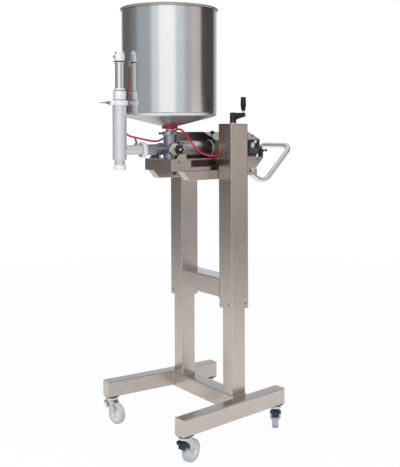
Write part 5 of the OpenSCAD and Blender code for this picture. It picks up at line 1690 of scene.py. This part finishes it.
class DEPOSITOR_OT_nozzle(bpy.types.Operator):
    """Makes the nozzle: tube with its arm and neck, adaptor, air cylinder, cap with its
    fittings, white tip and cut-off plunger, all turned profiles on one upright axis"""
    bl_idname = "depositor.nozzle"
    bl_label = "Nozzle"

    def execute(self, context):
        tube, axis = Piece("nozzle_tube_welded"), (NOZZLE_X, 0, 0)
        lathe(tube, [(20.5, 1283), (23.5, 1283), (23.5, 1302), (25, 1305.4), (30.4, 1306),
                     (31.75, 1307.6), (31.75, 1556), (33.6, 1557.6), (34.25, 1558.6),
                     (34.25, 1563), (29.75, 1563), (29.75, 1308), (20.5, 1308)], axis, "+z", 0,
              0.7, 96)
        rod(tube, 22.5, (NOZZLE_X, 0, AXIS_Z), (-372, 0, AXIS_Z), 0, 0.4, 72)
        lathe(tube, [(17, 0), (31.2, 0), (32, -0.8), (32, -2.6), (25, -5), (22.5, -6.5),
                     (17, -6.5)], SPOUT_END, "+x", 0, 0.5, 72)
        weld(tube, seam_of_pipes(22.5, 31.75, NOZZLE_X, 1), (0, 0.3, 1), 1.3)
        tube.build([metal("nozzle_steel", tint(colours().bright, 0.93), 0.36, ROUND_Z, 0.1,
                          0.00001, 900, shine=0.55)], "carriage", ["nozzle_body"], "bright_steel")
        self.cylinder(axis)
        self.cap(axis)
        self.tip(axis)
        return {"FINISHED"}

    def cylinder(self, axis):
        """Flange, adaptor with two grooves, and the polished air cylinder."""
        air = Piece("nozzle_cylinder_air")
        for r, z in ((29.5, 1574.6), (25.5, 1617.2)):
            lathe(air, [(r - 0.4, z), (r + 0.5, z), (r + 0.5, z + 2.8), (r - 0.4, z + 2.8)], axis,
                  "+z", 2, 0.3, 72)
        adaptor = [(5.05, 1563), (34.25, 1563), (34.25, 1567), (33.4, 1568), (31.25, 1569),
                   (31.25, 1574), (29.5, 1575), (29.5, 1590), (28.9, 1590.6), (28.9, 1592),
                   (29.5, 1592.6), (29.5, 1614.6), (28.4, 1616), (25.5, 1616.2), (25.5, 1626.8),
                   (24.4, 1628), (5.05, 1628)]
        barrel = [(17, 1627), (19.5, 1627), (19.5, 1743), (17, 1743)]
        collar = [(19.5, 1736), (20.4, 1736.4), (20.4, 1742.6), (19.5, 1743)]
        for profile, coat, radius, count in ((adaptor, 1, 0.5, 96), (barrel, 0, 0.5, 96),
                                             (collar, 0, 0.3, 72)):
            lathe(air, profile, axis, "+z", coat, radius, count)
        # The adaptor is whitish steel: partly painted reflection of the white surroundings on
        # chrome
        air.build([bright_steel(ROUND_Z, "air_cylinder_chrome", 0.1), pale_steel(),
                   dark_metal()], "carriage", ["nozzle_cylinder"], "bright_steel")

    def cap(self, axis):
        """The domed cap, its hose elbow and its side fitting."""
        cap = Piece("nozzle_cap_domed")
        dome = [(0, 1743), (23.5, 1743), (23.5, 1759), (24.5, 1761), (24.5, 1773)]
        t = np.linspace(0, math.pi / 2, 14)[1:-1]
        dome = [*bent_line(dome, 0.8, closed=False, steps=3),
                *np.c_[24.5 * np.cos(t) ** 0.8, 1773 + 30 * np.sin(t)], (0, 1803)]
        cap.add(turned(dome, 80) + axis)
        spot = (NOZZLE_X + 12, 0, 1752)
        lathe(cap, [(0, 20), (7, 20), (7, 33), (6.2, 33.6), (6.2, 42), (5, 43), (0, 43)], spot,
              "+y", 1, 0.5, 40)
        hexagon(cap, (spot[0], 22, spot[2]), "+y", 14.4, 6, 1)
        lathe(cap, [(0, -4), (6.5, -4), (6.5, 12), (5.9, 12.6), (5.9, 16), (6.4, 16.6),
                    (6.4, 21.4), (4.6, 22), (4.6, 18), (0, 18)], (spot[0], 36, 1752), "-z", 1,
              0.4, 40)
        lathe(cap, [(0, 0), (5, 0), (5, 23), (4.4, 23.6), (4.4, 28), (3.4, 30), (0, 30)],
              (NOZZLE_X, 6, 1771), "-x", 1, 0.5, 36)
        hexagon(cap, (NOZZLE_X - 23.4, 6, 1771), "-x", 10, 3.4, 2)
        lathe(cap, [(0, -1), (3.2, -1), (3.2, 2.6), (2.4, 3.4), (0, 3.4)],
              (NOZZLE_X - 20.4, -7, 1788), (-0.85, -0.29, 0.45), 2, 0.3, 24)
        lathe(cap, [(23.2, 1746), (23.9, 1746), (23.9, 1752), (23.2, 1752)], axis, "+z", 2, 0.2,
              72)
        cap.build([pale_steel(), chrome(), dark_metal()], "carriage", ["nozzle_cap"],
                  "white_plastic")

    def tip(self, axis):
        """The white tip, a thick ring with round edges and a small groove, and the plunger
        that closes it."""
        tip = Piece("nozzle_tip_white")
        lathe(tip, [(12.5, 1260), (26.4, 1260), (28.5, 1262.4), (28.5, 1270), (27.9, 1270.6),
                    (27.9, 1272), (28.5, 1272.6), (28.5, 1281.6), (27, 1283), (12.5, 1283)], axis,
              "+z", 0, 0.8, 80)
        tip.build([white_plastic()], "carriage", ["nozzle_tip"], "white_plastic")
        plunger = Piece("cutoff_plunger_turned")
        lathe(plunger, [(0, 1262), (11, 1262), (12.45, 1264), (12.45, 1280), (5, 1284),
                        (5, 1648), (16.95, 1648), (16.95, 1652.6), (16.2, 1653.2),
                        (16.2, 1656.8), (16.95, 1657.4), (16.95, 1662), (0, 1662)], axis, "+z",
              0, 0.5, 56)
        plunger.build([bright_steel(ROUND_Z, "plunger_steel", 0.16)], "plunger",
                      ["cutoff_plunger"], "bright_steel")


# ------------------------------------------------------ parts kept as drawn

KEPT = {
    "post_pads": white_plastic, "guide_pads": white_plastic, "lift_nut": bronze,
    # The bulkhead's dark metal is partly painted shade: it sits inside the housing, in its shadow
    "top_caps": frame_steel, "bulkhead": dark_metal, "drive_cylinder": cast_metal,
    "piston_rod": chrome, "product_piston": white_plastic,
}


class DEPOSITOR_OT_inner_parts(bpy.types.Operator):
    """Gives the plain inner parts their finishes: pads, nut, caps, bulkhead, cylinder and
    pistons keep their drawn shapes. Makes the lift screw, whose radius rises and falls
    round a helix"""
    bl_idname = "depositor.inner_parts"
    bl_label = "Inner parts"

    def execute(self, context):
        for node, finish in KEPT.items():
            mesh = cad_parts[node].data
            mesh.materials.clear()
            mesh.materials.append(finish())
        self.screw()
        return {"FINISHED"}

    def screw(self):
        """The lift screw: radius = 8.9 + 1.05 s, where s is a clipped wave of the angle round
        the axis minus a full turn for each pitch of height, fading out at the lower end."""
        screw = Piece("lead_screw_threaded")
        t, height = angles_round(36), np.arange(SCREW_LOW, SCREW_HIGH, 1.25)[:, None]
        wave = np.cos(t - 2 * math.pi * height / PITCH)
        r = 8.9 + 1.05 * np.clip(wave * 1.6, -1, 1)
        r = 8 + (r - 8) * np.clip((height - SCREW_LOW) / 4, 0, 1)
        screw.add(polar(r, t, height) + (0, -POST_Y, 0))
        lathe(screw, [(0, 1446), (9.9, 1446), (9.9, 1448), (17, 1448), (17, 1456), (9.9, 1456),
                      (9.9, 1466), (17, 1466), (17, 1472), (9.9, 1472), (9.9, 1476), (0, 1476)],
              (0, -POST_Y, 0), "+z", 1, 0.5, 56)
        screw.build([bright_steel(ROUND_Z, "screw_steel", 0.24), chrome()], "crank",
                    ["lead_screw"], "bright_steel")


# ------------------------------------------------------------ registration

STEPS = (
    DEPOSITOR_OT_stage, DEPOSITOR_OT_air_hose, DEPOSITOR_OT_legs, DEPOSITOR_OT_posts,
    DEPOSITOR_OT_casters, DEPOSITOR_OT_bed, DEPOSITOR_OT_push_handle, DEPOSITOR_OT_crank,
    DEPOSITOR_OT_drive_housing, DEPOSITOR_OT_product_cylinder, DEPOSITOR_OT_hopper,
    DEPOSITOR_OT_clamps, DEPOSITOR_OT_nozzle, DEPOSITOR_OT_inner_parts,
)


class DEPOSITOR_PT_panel(bpy.types.Panel):
    """Lists the sizes, the colours and the operators of the machine"""
    bl_idname = "DEPOSITOR_PT_panel"
    bl_label = "Depositor"
    bl_space_type = "VIEW_3D"
    bl_region_type = "UI"
    bl_category = "Depositor"

    def draw(self, context):
        layout = self.layout
        for step in STEPS:
            layout.operator(step.bl_idname)
        for group in (context.scene.depositor_sizes, context.scene.depositor_colours):
            box = layout.box()
            for name in group.bl_rna.properties.keys():
                if name not in ("rna_type", "name"):
                    box.prop(group, name)


CLASSES = (DepositorSizes, DepositorColours, *STEPS, DEPOSITOR_PT_panel)


def register():
    for each in CLASSES:
        bpy.utils.register_class(each)
    bpy.types.Scene.depositor_sizes = bpy.props.PointerProperty(type=DepositorSizes)
    bpy.types.Scene.depositor_colours = bpy.props.PointerProperty(type=DepositorColours)


def unregister():
    del bpy.types.Scene.depositor_colours
    del bpy.types.Scene.depositor_sizes
    for each in reversed(CLASSES):
        bpy.utils.unregister_class(each)


def main():
    register()
    for step in STEPS:
        getattr(bpy.ops.depositor, step.bl_idname.split(".")[1])()


if __name__ == "__main__":
    main()
